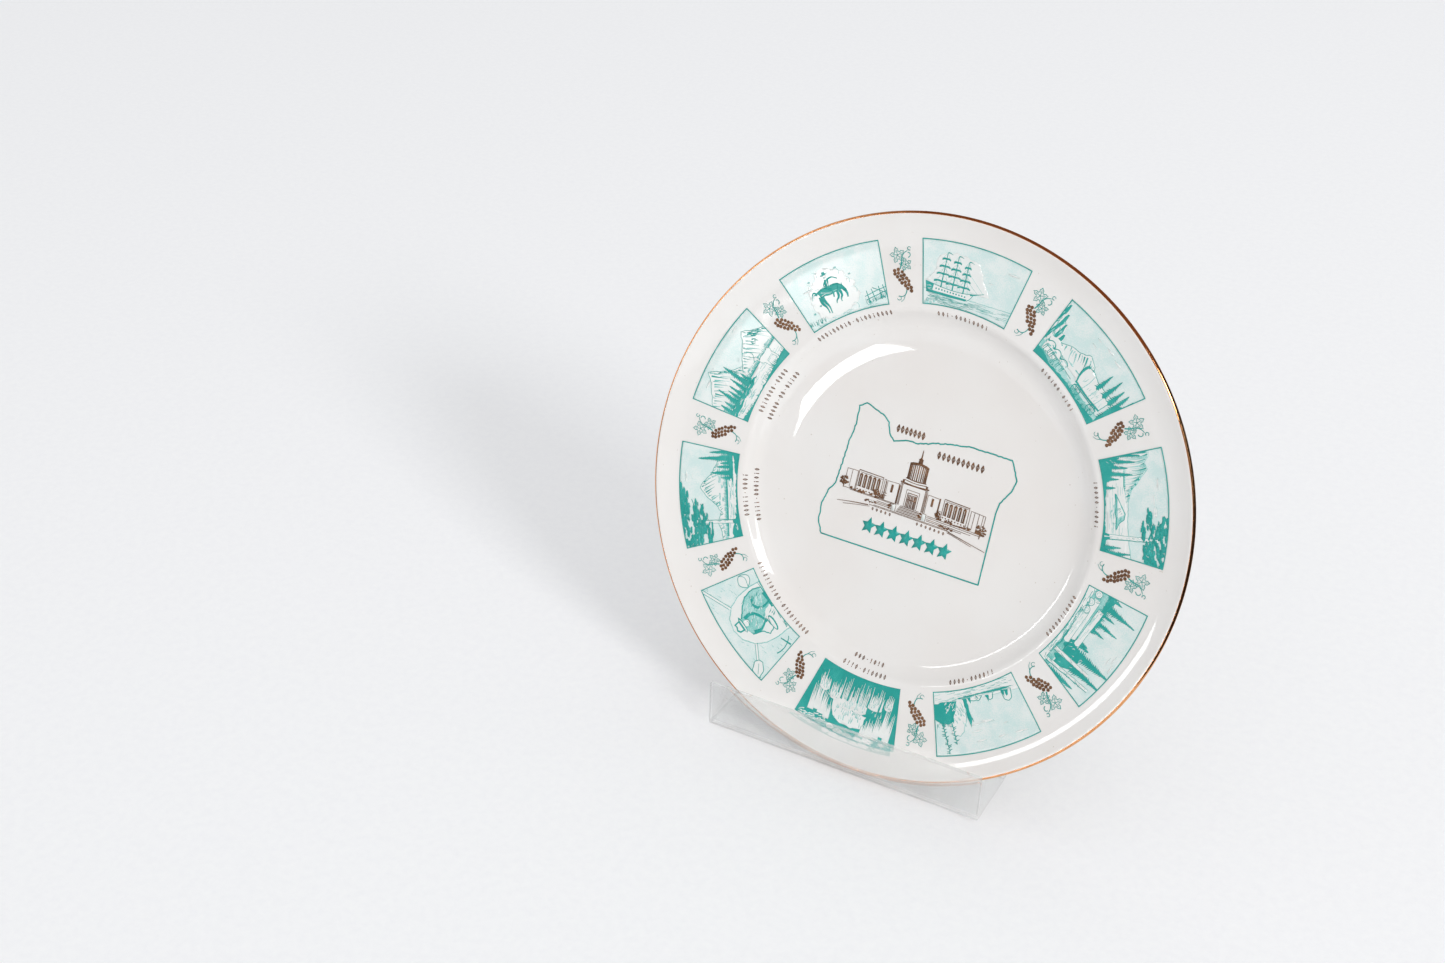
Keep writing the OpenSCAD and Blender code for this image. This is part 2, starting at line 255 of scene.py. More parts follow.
def bare_glaze():
    # Picture parts left without ink, so the glaze shows: as the china, with a trace of tint grain.
    return fired_print("bare_glaze", linear("#E9ECE9"), linear("#DDEBE8"), 0.6, 1.1, 1.4,
                       Roughness=0.12, IOR=1.52)


def bronze_ink():
    # Gold-brown lustre ink, dull like dried bronze paint, darker where it is thick.
    brown = bpy.context.scene.plate_colours.gold_brown
    return fired_print("bronze_ink", linear(brown), linear("#946C4B"), 0.5, 0.9, 1.35,
                       Roughness=0.36, Metallic=0.35)


def cast_acrylic():
    # Cast acrylic bent hot and flame-polished: almost colourless, with a faint green cast where the
    # sheet is seen end on, fine wiping scratches and a little dust.
    material, tree, shader, place = new_material(
        "cast_acrylic", Roughness=0.02, IOR=1.49, Transmission_Weight=1.0, Alpha=0.4)
    stretched = add_node(tree, "ShaderNodeMapping", {"Vector": place, "Scale": (0.15, 1, 1)}).outputs["Vector"]
    scratches = ramp(tree, noise(tree, stretched, 0.6, 2), 0.68, 0.74)
    dust = ramp(tree, noise(tree, place, 0.5, 1), 0.76, 0.8)
    marks = add_node(tree, "ShaderNodeMath", {0: scratches, 1: dust}, operation="MAXIMUM").outputs[0]
    tree.links.new(blend_colours(tree, marks, linear("#FAFDFC"), linear("#F1F5F4")), shader.inputs["Base Color"])
    tree.links.new(ramp(tree, marks, 0, 1, 0.02, 0.12), shader.inputs["Roughness"])
    bump(tree, shader, noise(tree, place, 25, 1), 0.05, 0.25)
    return material


def studio_paper():
    # Matt seamless paper: pale, with a fibre that only just shows.
    material, tree, shader, place = new_material("studio_paper", Roughness=1.0, Specular_IOR_Level=0.0)
    fibre = noise(tree, place, 4, 4, Roughness=0.7)
    colour = blend_colours(tree, ramp(tree, fibre, 0.3, 0.7), linear("#FAFAFA"), linear("#F6F6F7"))
    tree.links.new(colour, shader.inputs["Base Color"])
    bump(tree, shader, fibre, 0.25, 0.5)
    return material


def dark_cloth():
    # Black velvet on a card: swallows the light, with a faint nap.
    material, tree, shader, place = new_material("dark_cloth", Roughness=1.0)
    nap = blend_colours(tree, noise(tree, place, 8, 2), linear("#201C1A"), linear("#2C2724"))
    tree.links.new(nap, shader.inputs["Base Color"])
    return material


def material(maker):
    """The material that a maker function makes, made once. Its name is none of the CAD materials' names."""
    return bpy.data.materials.get(maker.__name__) or maker()


# ---------------------------------------------------------------- meshes

def make_object(bm, name, maker):
    """Makes an object of one material from a bmesh that is in place in metres."""
    mesh = bpy.data.meshes.new(name)
    bm.to_mesh(mesh)
    bm.free()
    mesh.materials.append(material(maker))
    made = bpy.data.objects.new(name, mesh)
    bpy.context.scene.collection.objects.link(made)
    return made


def finish_piece(bm, name, maker, body, replaced=(), sharp=None, thickness=None):
    """Makes an object of a bmesh, smooths it, and ties it to its CAD body."""
    piece = make_object(bm, name, maker)
    for polygon in piece.data.polygons:
        polygon.use_smooth = sharp is not None
    if sharp is not None:
        piece.data.set_sharp_from_angle(angle=math.radians(sharp))
    if thickness:
        shell = piece.modifiers.new("thickness", "SOLIDIFY")
        shell.thickness = thickness * MM
        shell.offset = -1
    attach(piece, body)
    if replaced:
        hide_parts(*replaced)
    return piece


def spun(profile, steps):
    """Spins a profile of radius and height, in mm, about the plate's axis."""
    bm = bmesh.new()
    verts = [bm.verts.new((r, 0, z)) for r, z in profile]
    edges = [bm.edges.new(pair) for pair in zip(verts, verts[1:])]
    if profile[0][0] > 0:
        edges.append(bm.edges.new((verts[-1], verts[0])))
    bmesh.ops.spin(bm, geom=verts + edges, cent=(0, 0, 0), axis=(0, 0, 1), dvec=(0, 0, 0),
                   angle=2 * math.pi, steps=steps, use_merge=True)
    bmesh.ops.remove_doubles(bm, verts=bm.verts, dist=1e-4)
    bmesh.ops.dissolve_degenerate(bm, edges=bm.edges, dist=1e-4)
    bmesh.ops.recalc_face_normals(bm, faces=bm.faces)
    for vert in bm.verts:
        vert.co = on_plate(*vert.co)
    return bm


def rounded(points):
    """Cuts the corners of an open path twice, so that a few points draw a smooth stroke."""
    for _ in range(2 if 2 < len(points) < 14 else 0):
        cut = [points[0]]
        for (ax, ay), (bx, by) in zip(points, points[1:]):
            cut += [(0.75 * ax + 0.25 * bx, 0.75 * ay + 0.25 * by), (0.25 * ax + 0.75 * bx, 0.25 * ay + 0.75 * by)]
        points = cut[:1] + cut[2:-1] + [points[-1]]
    return points


class Ink:
    """The drawing of one print: outlines in mm, kept by tone, each a hair above the one before it."""

    def __init__(self, seed):
        self.draw = random.Random(seed)
        self.shapes = {}
        self.level = 0.08
        self.last = None

    def near(self, value, spread):
        return value + self.draw.uniform(-spread, spread)

    def fill(self, tone, points):
        self.level += 0.0001 if tone == self.last else 0.001
        self.last = tone
        self.shapes.setdefault(tone, []).append((self.level, list(points)))

    def line(self, tone, points, width, end=None):
        """A stroke along points, width wide at its start and end wide at its end."""
        end = width if end is None else end
        points = rounded(points)
        last = len(points) - 1
        left, right = [], []
        for i, (x, y) in enumerate(points):
            ax, ay = points[max(i - 1, 0)]
            bx, by = points[min(i + 1, last)]
            length = math.hypot(bx - ax, by - ay) or 1
            half = (width + (end - width) * i / last) / 2
            nx, ny = -(by - ay) / length * half, (bx - ax) / length * half
            left.append((x + nx, y + ny))
            right.append((x - nx, y - ny))
        self.fill(tone, left + right[::-1])

    def rough(self, points, size, step=1.0):
        """The same path with more points, each moved a little, as a hand draws it."""
        out = []
        for (ax, ay), (bx, by) in zip(points, points[1:]):
            n = max(1, round(math.hypot(bx - ax, by - ay) / step))
            out.append((ax, ay))
            out += [(self.near(ax + (bx - ax) * k / n, size), self.near(ay + (by - ay) * k / n, size))
                    for k in range(1, n)]
        return out + [points[-1]]

    def blob(self, tone, x, y, w, h, rough=0.25, n=9):
        self.fill(tone, [(x + w / 2 * math.cos(a) * self.near(1, rough),
                          y + h / 2 * math.sin(a) * self.near(1, rough))
                         for a in (2 * math.pi * k / n for k in range(n))])

    def blobs(self, tone, n, box, w, h, rough=0.3):
        """Scatters n ragged patches over a box x0, y0, x1, y1."""
        for _ in range(n):
            self.blob(tone, self.draw.uniform(box[0], box[2]), self.draw.uniform(box[1], box[3]),
                      self.near(w, w * 0.35), self.near(h, h * 0.35), rough)

    def strokes(self, tone, n, box, way, width=0.22, spread=0.25):
        """Scatters n tapered strokes that start in a box and run along way."""
        for _ in range(n):
            x, y = self.draw.uniform(box[0], box[2]), self.draw.uniform(box[1], box[3])
            k = self.near(1, 0.4)
            turn = self.near(0, spread)
            dx = k * (way[0] * math.cos(turn) - way[1] * math.sin(turn))
            dy = k * (way[0] * math.sin(turn) + way[1] * math.cos(turn))
            bend = self.near(0, 0.12)
            middle = (x + dx / 2 - dy * bend, y + dy / 2 + dx * bend)
            self.line(tone, [(x, y), middle, (x + dx, y + dy)], width, width * 0.3)

    def pine(self, x, y, h, w, tone="dark"):
        """A conifer: ragged boughs that droop, on a short stem."""
        rows = max(5, round(h / 0.95))
        sides = []
        for side in (1, -1):
            edge = []
            for k in range(rows):
                reach = w / 2 * (0.12 + 0.88 * (k + 1) / rows) * self.draw.uniform(0.62, 1.12)
                level = y + h - (k + 1) * h * 0.93 / rows
                edge += [(x + side * reach, level - 0.12 * h / rows),
                         (x + side * reach * 0.42, level + 0.1 * h / rows)]
            sides.append(edge)
        stem = [(x + w * 0.05, y), (x - w * 0.05, y)]
        self.fill(tone, [(x, y + h)] + sides[0] + stem + sides[1][::-1])

    def treeline(self, x0, x1, y, h, tone="dark"):
        """A far wood, as one ragged band."""
        top = []
        x = x0
        while x < x1:
            top += [(x, y + h * self.draw.uniform(0.25, 0.5)), (x + 0.28, y + h * self.draw.uniform(0.6, 1.1))]
            x += self.draw.uniform(0.5, 0.8)
        self.fill(tone, [(x0, y)] + top + [(x1, y + h * 0.3), (x1, y)])

    def water(self, x0, x1, y0, y1, n, tone="half", length=4.0):
        for _ in range(n):
            x, y = self.draw.uniform(x0, x1), self.draw.uniform(y0, y1)
            reach = self.draw.uniform(0.3, 1) * length
            self.line(tone, self.rough([(x, y), (min(x + reach, x1 + 1), y)], 0.07), 0.16, 0.1)

    def grass(self, x0, x1, y, h, n, tone="dark"):
        for _ in range(n):
            x = self.draw.uniform(x0, x1)
            base = self.near(y, 0.3)
            self.line(tone, [(x, base), (self.near(x, h * 0.4), base + h * self.draw.uniform(0.5, 1.1))], 0.24, 0.06)

    def ground(self, points, tone="dark", rough=0.35):
        """Fills from a rough upper edge, left to right, down past the picture's foot."""
        top = self.rough(points, rough, 0.9)
        self.fill(tone, top + [(points[-1][0], -4), (points[0][0], -4)])

    def peak(self, ridge, base, shade="right", n=26):
        """A snowy mountain: bare snow, a pencilled ridge, and rock showing down one side."""
        edge = self.rough(ridge, 0.22, 1.2)
        self.fill("white", edge + [(ridge[-1][0], base), (ridge[0][0], base)])
        self.line("half", edge, 0.3)
        self.line("dark", edge, 0.14)
        lean = 0.55 if shade == "right" else -0.55
        for k in range(n):
            x, y = along(ridge, (k + 0.5) / n)
            drop = self.draw.uniform(0.15, 0.6) * (y - base)
            steep = "half" if self.draw.random() < 0.62 else "dark"
            start = (x, y - self.draw.uniform(0.1, 0.5) * drop)
            end = (x + lean * drop + self.near(0, 0.4), start[1] - drop)
            bend = ((start[0] + end[0]) / 2 + self.near(0, 0.35), (start[1] + end[1]) / 2)
            self.line(steep, [start, bend, end], self.draw.uniform(0.25, 0.75), 0.08)
        self.blobs("half", n // 2, (ridge[0][0] + 2, base, ridge[-1][0] - 2, base + 2.4), 2.2, 0.8, 0.5)

    def clouds(self, x0, x1, y0, y1, n):
        for _ in range(n):
            x, y = self.draw.uniform(x0, x1), self.draw.uniform(y0, y1)
            w = self.draw.uniform(2, 5)
            self.blob("white", x, y, w, w * 0.22, 0.2, 11)
            self.line("half", self.rough([(x - w / 2, y), (x, y + w * 0.1), (x + w / 2, y)], 0.1), 0.12, 0.05)

    def log(self, x0, y0, x1, y1, r):
        """A felled log, cut end at its start."""
        dx, dy = x1 - x0, y1 - y0
        length = math.hypot(dx, dy)
        nx, ny = -dy / length * r, dx / length * r
        self.fill("white", [(x0 + nx, y0 + ny), (x1 + nx * 0.9, y1 + ny * 0.9), (x1 + dx / length * r * 0.4, y1),
                            (x1 - nx * 0.9, y1 - ny * 0.9), (x0 - nx, y0 - ny)])
        for side in (-1, 1):
            self.line("dark", self.rough([(x0 + side * nx, y0 + side * ny),
                                          (x1 + side * nx * 0.9, y1 + side * ny * 0.9)],
                                         0.08), 0.24 if side < 0 else 0.16)
        for k in range(9):
            t, s = self.draw.uniform(0.05, 0.7), self.draw.uniform(-0.85, 0.3)
            x, y = x0 + dx * t + nx * s, y0 + dy * t + ny * s
            self.line("half", [(x, y), (x + dx * 0.22, y + dy * 0.22)], 0.2, 0.08)
        for ring, width in ((1, 0.2), (0.55, 0.13)):
            self.line("dark", [(x0 + r * ring * 0.75 * math.cos(a), y0 + r * ring * math.sin(a))
                               for a in (math.pi * k / 8 for k in range(16))], width)

    def foliage(self, box, n, size=1.8, tone="dark"):
        """Flat sprays of needles, as on a big pine's boughs."""
        for _ in range(n):
            x, y = self.draw.uniform(box[0], box[2]), self.draw.uniform(box[1], box[3])
            w = self.near(size, size * 0.4)
            self.blob(tone, x, y, w, w * 0.38, 0.35, 11)
            for k in range(3):
                self.line(tone, [(self.near(x, w / 3), y), (self.near(x, w * 0.6), y - self.draw.uniform(0.2, 0.6))],
                          0.3, 0.08)

    def trunk(self, x0, y0, x1, y1, w, tone="white"):
        """A bare trunk, pale with pencilled bark, or solid."""
        self.line(tone, self.rough([(x0, y0), (x1, y1)], 0.1, 2.5), w, w * 0.7)
        for side, width in ((-1, 0.18), (1, 0.38)):
            self.line("dark", self.rough([(x0 + side * w / 2, y0), (x1 + side * w * 0.35, y1)], 0.09, 1.2),
                      width, width * 0.7)
        self.strokes("dark", round(abs(y1 - y0) * 1.1), (min(x0, x1) - w * 0.1, y0, max(x0, x1) + w * 0.4, y1 - 1.2),
                     (0.05, 0.9), 0.16)


def lay_print(shapes, place, outline=None, cell=1.2, polar=None):
    """Cuts flat outlines into small cells, trims them to the picture, and lays them on the china.

    polar is the radius of the drawing's origin, for a drawing that is to follow the rim."""
    bm = bmesh.new()
    for height, points in shapes:
        clean = [p for k, p in enumerate(points) if math.dist(p, points[k - 1]) > 1e-4]
        if len(clean) > 2:
            bm.faces.new([bm.verts.new((x, y, height)) for x, y in clean])
    bmesh.ops.recalc_face_normals(bm, faces=bm.faces)
    bmesh.ops.reverse_faces(bm, faces=[f for f in bm.faces if f.normal.z < 0])
    bmesh.ops.triangulate(bm, faces=bm.faces)
    if polar is not None:
        long_edges = [e for e in bm.edges if e.calc_length() > 2]
        bmesh.ops.subdivide_edges(bm, edges=long_edges, cuts=3)
        bmesh.ops.triangulate(bm, faces=bm.faces)
        for vert in bm.verts:
            x, y = vert.co.x, vert.co.y + polar
            vert.co.x, vert.co.y = math.atan2(x, y) * ARC_R, math.hypot(x, y)

    def cut(co, no, clear=False):
        bmesh.ops.bisect_plane(bm, geom=bm.verts[:] + bm.edges[:] + bm.faces[:], dist=1e-5,
                               plane_co=co, plane_no=no, clear_outer=clear)

    if outline:
        half, inner, outer = outline
        for side in (-1, 1):
            cut((side * half * ARC_R, 0, 0), (side, 0, 0), True)
        cut((0, outer, 0), (0, 1, 0), True)
        cut((0, inner, 0), (0, -1, 0), True)
    for axis in (0, 1):
        spans = [v.co[axis] for v in bm.verts]
        way = (1 - axis, axis, 0)
        for k in range(math.ceil(min(spans, default=0) / cell), math.ceil(max(spans, default=0) / cell)):
            cut(cell * k * Vector(way), way)
    bmesh.ops.delete(bm, geom=[f for f in bm.faces if f.calc_area() < 1e-5], context="FACES")
    for vert in bm.verts:
        vert.co = place(vert.co)
    return bm


def print_z(r, cell=1.2):
    """Height of the china under a print, straight between the radii where prints are cut."""
    k = math.floor(r / cell)
    low, high = face_z(k * cell), face_z((k + 1) * cell)
    return low + (high - low) * (r / cell - k)


def on_rim(angle):
    """Lays a drawing given as arc length and radius about an angle of the rim, in degrees."""
    middle = math.radians(angle + PLATE_TURN)

    def place(co):
        a = middle - co.x / ARC_R
        return on_plate(co.y * math.cos(a), co.y * math.sin(a), print_z(co.y) + co.z)
    return place


def at_centre(co):
    """Lays the centre print on the floor of the well."""
    turn = math.radians(CENTRE_TURN + PLATE_TURN)
    y = co.y + CENTRE_Y
    x, y = co.x * math.cos(turn) - y * math.sin(turn), co.x * math.sin(turn) + y * math.cos(turn)
    return on_plate(x, y, face_z(math.hypot(x, y)) + co.z)


# ---------------------------------------------------------------- rim pictures
# Each picture is drawn in mm, x from its middle and y up from the middle of its foot.

def draw_rider(ink):
    cloud = [(-13.5, 6), (-14.5, 9.5), (-13.8, 13), (-12.6, 16.5), (-9, 17.6), (-8.4, 20.4), (-5, 21.6),
             (-1.5, 20.6), (1.6, 19), (4.2, 17.6), (4.8, 14.2), (7.6, 12.4), (6.4, 9.6), (8.2, 6.6), (4.6, 3.2),
             (-1, 1.6), (-8, 1.2), (-12.4, 2.6)]
    ink.fill("white", ink.rough(cloud + cloud[:1], 0.3, 1.2)[:-1])
    for k in (3, 5, 8, 10, 12, 14):
        x, y = cloud[k]
        ink.line("half", arc((x - 0.7, y - 0.7), 1.5, -50, 110, 6), 0.22, 0.08)
    ink.clouds(-18, 18, 14, 24, 6)
    ink.line("dark", [(-9.6, 11.4), (-7.6, 12.4), (-4.8, 11.9), (-2, 12.6), (-0.2, 12)], 3.4, 3.6)
    ink.line("dark", [(-0.8, 12.6), (1.2, 11.8), (2.2, 9.8)], 2.6, 1.2)
    ink.line("dark", [(1.9, 10.6), (2.6, 8.8), (2.2, 7)], 1.4, 0.6)
    ink.line("dark", [(1.3, 12.6), (1.7, 13.6)], 0.5, 0.15)
    ink.line("dark", [(-0.6, 11.6), (0.4, 8.8), (-1, 7.4), (-0.9, 6.2)], 1.3, 0.35)
    ink.line("dark", [(-1.4, 11), (-1.4, 8.4), (-3, 7.4), (-3.4, 6.2)], 1.2, 0.35)
    ink.line("dark", [(-9.4, 10.8), (-9.6, 8), (-8.2, 6.2), (-7.9, 3.4)], 1.7, 0.45)
    ink.line("dark", [(-8.6, 10.6), (-8, 8), (-6.9, 6), (-6.9, 3)], 1.5, 0.4)
    ink.line("dark", [(-10.2, 12.2), (-11.6, 13.6), (-12.8, 12.4), (-13.2, 10.4)], 0.8, 0.2)
    ink.line("dark", [(-10.4, 12), (-12, 12.6), (-12.4, 11)], 0.6, 0.15)
    ink.line("half", [(-8.6, 12.4), (-5, 11.2), (-1.4, 11.4)], 0.5, 0.3)
    ink.line("white", [(-8.8, 11), (-6.2, 11.6), (-4.6, 10.6)], 0.22, 0.1)
    ink.line("dark", [(-4.6, 12.8), (-4.9, 14.8), (-4.2, 16.6)], 1.7, 1.9)
    ink.line("white", [(-4.5, 14), (-4.3, 16)], 0.4, 0.3)
    ink.line("dark", [(-4.6, 13), (-3, 11.4), (-3.6, 9)], 1.2, 0.6)
    ink.line("dark", [(-4, 16.6), (-1.6, 17.2), (0.6, 15.6)], 0.8, 0.35)
    ink.line("dark", [(-4.6, 16.4), (-6.4, 15), (-5.6, 13.4)], 0.7, 0.3)
    ink.blob("white", -4.5, 18.2, 1.5, 1.7, 0.08)
    ink.line("dark", [(-5.1, 17.9), (-4.6, 17.4), (-4, 17.8)], 0.25, 0.15)
    ink.line("dark", [(-6.2, 18.9), (-4.4, 18.7), (-2.9, 19.3)], 0.4, 0.25)
    ink.fill("dark", [(-5.4, 18.9), (-5.2, 20), (-4, 20.2), (-3.6, 19)])
    for x, y in ((-14.4, 5), (-10.6, 7.4), (1.4, 20), (6.4, 15.6), (-12, 18)):
        ink.blob("half", x, y, 1.2, 0.8, 0.3)
    for x, tilt in ((10.4, 0.2), (13.2, -0.3), (16, 0.3), (18.4, -0.2)):
        ink.line("dark", [(x, 1.2), (x + tilt, 6.6)], 0.4, 0.3)
    for y in (5.2, 3.6):
        ink.line("dark", ink.rough([(9.2, y - 0.6), (20.5, y + 0.3)], 0.15, 2), 0.3)
    ink.line("dark", [(13.6, 6.8), (18.6, 3)], 0.3, 0.2)
    ink.grass(8.4, 20, 1.4, 2.2, 34)
    ink.grass(-18.5, -11, 0.6, 2.2, 22)
    ink.grass(-10, 8, -0.6, 1, 20, "half")
    ink.strokes("half", 22, (-17, -0.5, 16, 1.8), (2.4, 0.1), 0.2)


def draw_ship(ink):
    ink.clouds(-17, 20, 9, 23, 9)
    ink.fill("white", ink.rough([(-19, 8), (-16, 12), (-15, 19), (-8, 22), (2, 20), (5, 14), (9, 8), (-19, 8)], 0.4,
                                2)[:-1])
    ink.line("half", ink.rough([(-20, 4.6), (22, 4.9)], 0.05), 0.22)
    hull = [(-18.6, 7.6), (-15.2, 7.2), (-8, 6.5), (-1, 6.9), (2.4, 7.8), (1, 5.2), (-0.6, 4), (-17.4, 3.5)]
    ink.fill("white", hull)
    ink.fill("dark", [(-17.6, 4.5), (-0.2, 4.9), (-0.6, 4), (-17.4, 3.4)])
    ink.fill("dark", [(-18.7, 7.8), (-15, 7.3), (-15.2, 3.6), (-17.6, 3.4)])
    ink.line("dark", hull + hull[:1], 0.24)
    ink.strokes("white", 5, (-18, 4.6, -16.4, 6.8), (1.6, -0.1), 0.18)
    for k in range(11):
        ink.fill("dark", [(-14 + 1.25 * k, 5.4), (-13.4 + 1.25 * k, 5.4), (-13.4 + 1.25 * k, 6), (-14 + 1.25 * k, 6)])
    ink.line("dark", [(0.8, 7), (3.6, 7.9), (6.6, 9)], 0.6, 0.2)
    ink.line("half", [(6, 8.8), (-2.2, 16)], 0.12)
    ink.line("half", [(4, 8), (-2.2, 12.6)], 0.12)
    for x, top, wide in ((-11.9, 20.8, 7), (-7, 20.6, 6.4), (-2.3, 19.6, 5.4)):
        ink.line("dark", [(x, 6.6), (x, top)], 0.55, 0.3)
        ink.line("dark", [(x, top), (x + 0.9, top + 0.3), (x + 2.2, top - 0.3)], 0.5, 0.15)
        for k in range(4):
            y = 9.2 + k * (top - 10.4) / 3.4
            half = wide / 2 * (1 - 0.16 * k)
            yard = [(x - half, y - 0.35), (x - half / 2, y + 0.2), (x, y), (x + half / 2, y + 0.3),
                    (x + half, y - 0.15)]
            ink.line("dark", yard, 0.55, 0.4)
            ink.line("dark", ink.rough([(px, py - 0.35) for px, py in yard], 0.12), 0.5, 0.3)
            ink.line("half", [(x - half, y - 0.3), (x, y + 2.4)], 0.1)
            ink.line("half", [(x + half, y - 0.3), (x, y + 2.4)], 0.1)
        for side in (-1, 1):
            ink.line("half", [(x, top - 4), (x + side * wide * 0.36, 6.6)], 0.13)
    ink.water(-18, -1, 0.5, 3.3, 46, "half", 5)
    ink.water(-17, 3, 1.6, 3.2, 22, "dark", 3)
    ink.water(0, 19, 0.3, 4.3, 26, "half", 6)
    ink.strokes("dark", 16, (-14, 0.2, 1, 1.8), (1.8, -0.1), 0.14)
    ink.blobs("half", 14, (-17, -1.2, -12, 0.6), 1, 0.8)


def draw_wagon(ink):
    ink.clouds(-8, 16, 19, 25, 4)
    ink.peak([(-15, 8), (-9, 12.4), (-5.4, 13.4), (-1.6, 16.2), (1.4, 15), (5, 12.4), (11, 9.4), (15, 8)], 5.4)
    for k in range(5):
        x = -22 + 2.4 * k
        top = 22.5 - 3.2 * k
        ink.fill("white", ink.rough([(x - 1.4, -1), (x - 1.2, top - 1), (x - 0.2, top), (x + 1.4, top - 3),
                                     (x + 1.8, -1)], 0.3, 2))
        ink.fill("dark", ink.rough([(x - 0.4, 1), (x - 0.5, top - 0.6), (x + 0.2, top - 0.2), (x + 1.1, top - 3.4),
                                    (x + 0.9, top * 0.55), (x + 0.4, 2)], 0.25, 1.6))
        ink.strokes("dark", 14, (x - 1.2, 3, x + 1.4, top - 3), (0.3, -2.6), 0.35)
        ink.strokes("half", 12, (x - 1.2, 2, x + 1.6, top - 3), (0.2, -2.2), 0.4)
    ink.ground([(-22, 4.6), (-14, 5), (-8, 4), (0, 3), (8, 2.6), (22, 3.4)], "half")
    ink.fill("white", ink.rough([(-18, 8.4), (-14, 9.6), (-10, 8.6), (-8, 5), (-11, 2), (-17, 2), (-18, 8.4)],
                                0.3, 1.5)[:-1])
    ink.strokes("dark", 16, (-18, 2, -9, 8), (1.2, -1), 0.3)
    for x, y in ((-15, 5.4), (-11, 5), (-6.4, 4.6)):
        ink.line("white", [(x - 1.8, y + 0.2), (x + 1.8, y + 0.2)], 2.2, 2)
        ink.line("dark", arc((x, y), 2, 20, 160, 8), 0.35)
        ink.line("dark", [(x - 1.7, y - 1), (x + 1.9, y - 0.9)], 0.3)
        for leg in (-1.5, -0.8, 1, 1.6):
            ink.line("dark", [(x + leg, y - 0.6), (x + leg - 0.15, y - 3)], 0.4, 0.2)
        ink.blob("dark", x - 2.2, y + 0.8, 1.1, 0.9)
        ink.line("dark", [(x - 2.4, y + 1.2), (x - 3, y + 1.9)], 0.2, 0.08)
        ink.blobs("half", 6, (x - 1.4, y - 0.8, x + 1.6, y + 0.8), 0.9, 0.5)
    ink.line("dark", [(-13, 4.6), (0, 3.6)], 0.2)
    ink.fill("white", [(1, 5), (0.6, 12.6), (3.4, 13.2), (8, 11.9), (13, 12), (17, 12.8), (16.4, 5.6), (9, 4.8)])
    ink.line("dark", [(1.2, 13.2), (0.4, 11), (0.8, 8), (2.2, 5)], 1.4, 0.6)
    ink.line("white", [(1.4, 12.2), (1.1, 10.4), (1.5, 8)], 0.3, 0.15)
    ink.line("dark", ink.rough([(1, 13), (4, 13.2), (8, 11.9), (13, 12), (17, 12.8), (16.4, 5.6)], 0.06), 0.26)
    for x in (5.4, 9.4, 13.2):
        ink.line("half", [(x, 12.4), (x + 0.6, 9), (x + 0.2, 5.4)], 0.26)
    ink.strokes("half", 16, (3, 5.6, 15.6, 8), (0.1, 1.8), 0.2)
    ink.line("dark", [(1.8, 5), (9, 4.6), (16.6, 5.2)], 0.8, 0.7)
    ink.line("dark", [(2.4, 3.9), (16, 4.1)], 0.3)
    for x in (4.4, 14):
        for k in range(8):
            a = math.pi * k / 4
            ink.line("dark", [(x, 2.7), (x + 1.9 * math.cos(a), 2.7 + 1.9 * math.sin(a))], 0.16)
        ink.line("dark", arc((x, 2.7), 2, 0, 350, 18), 0.34)
    for x, h, w in ((9.4, 9, 3.4), (13.4, 10.6, 4), (16.8, 9, 4), (19.4, 17, 6), (22.2, 17, 6)):
        ink.pine(x, 9.6 if x < 17 else 2, h, w)
    ink.fill("dark", ink.rough([(17.8, -1), (18.2, 9), (19.4, 13), (25, 16), (25, -1), (17.8, -1)], 0.35, 1)[:-1])
    ink.strokes("white", 14, (18.4, 1, 22, 12), (0.5, 1.1), 0.18)
    ink.ground([(-22, 1.4), (-15, 1.6), (-10, 0.4), (0, 1.6), (8, 0.6), (22, 1.4)])
    ink.grass(-19, 17, 0.8, 1.6, 40)


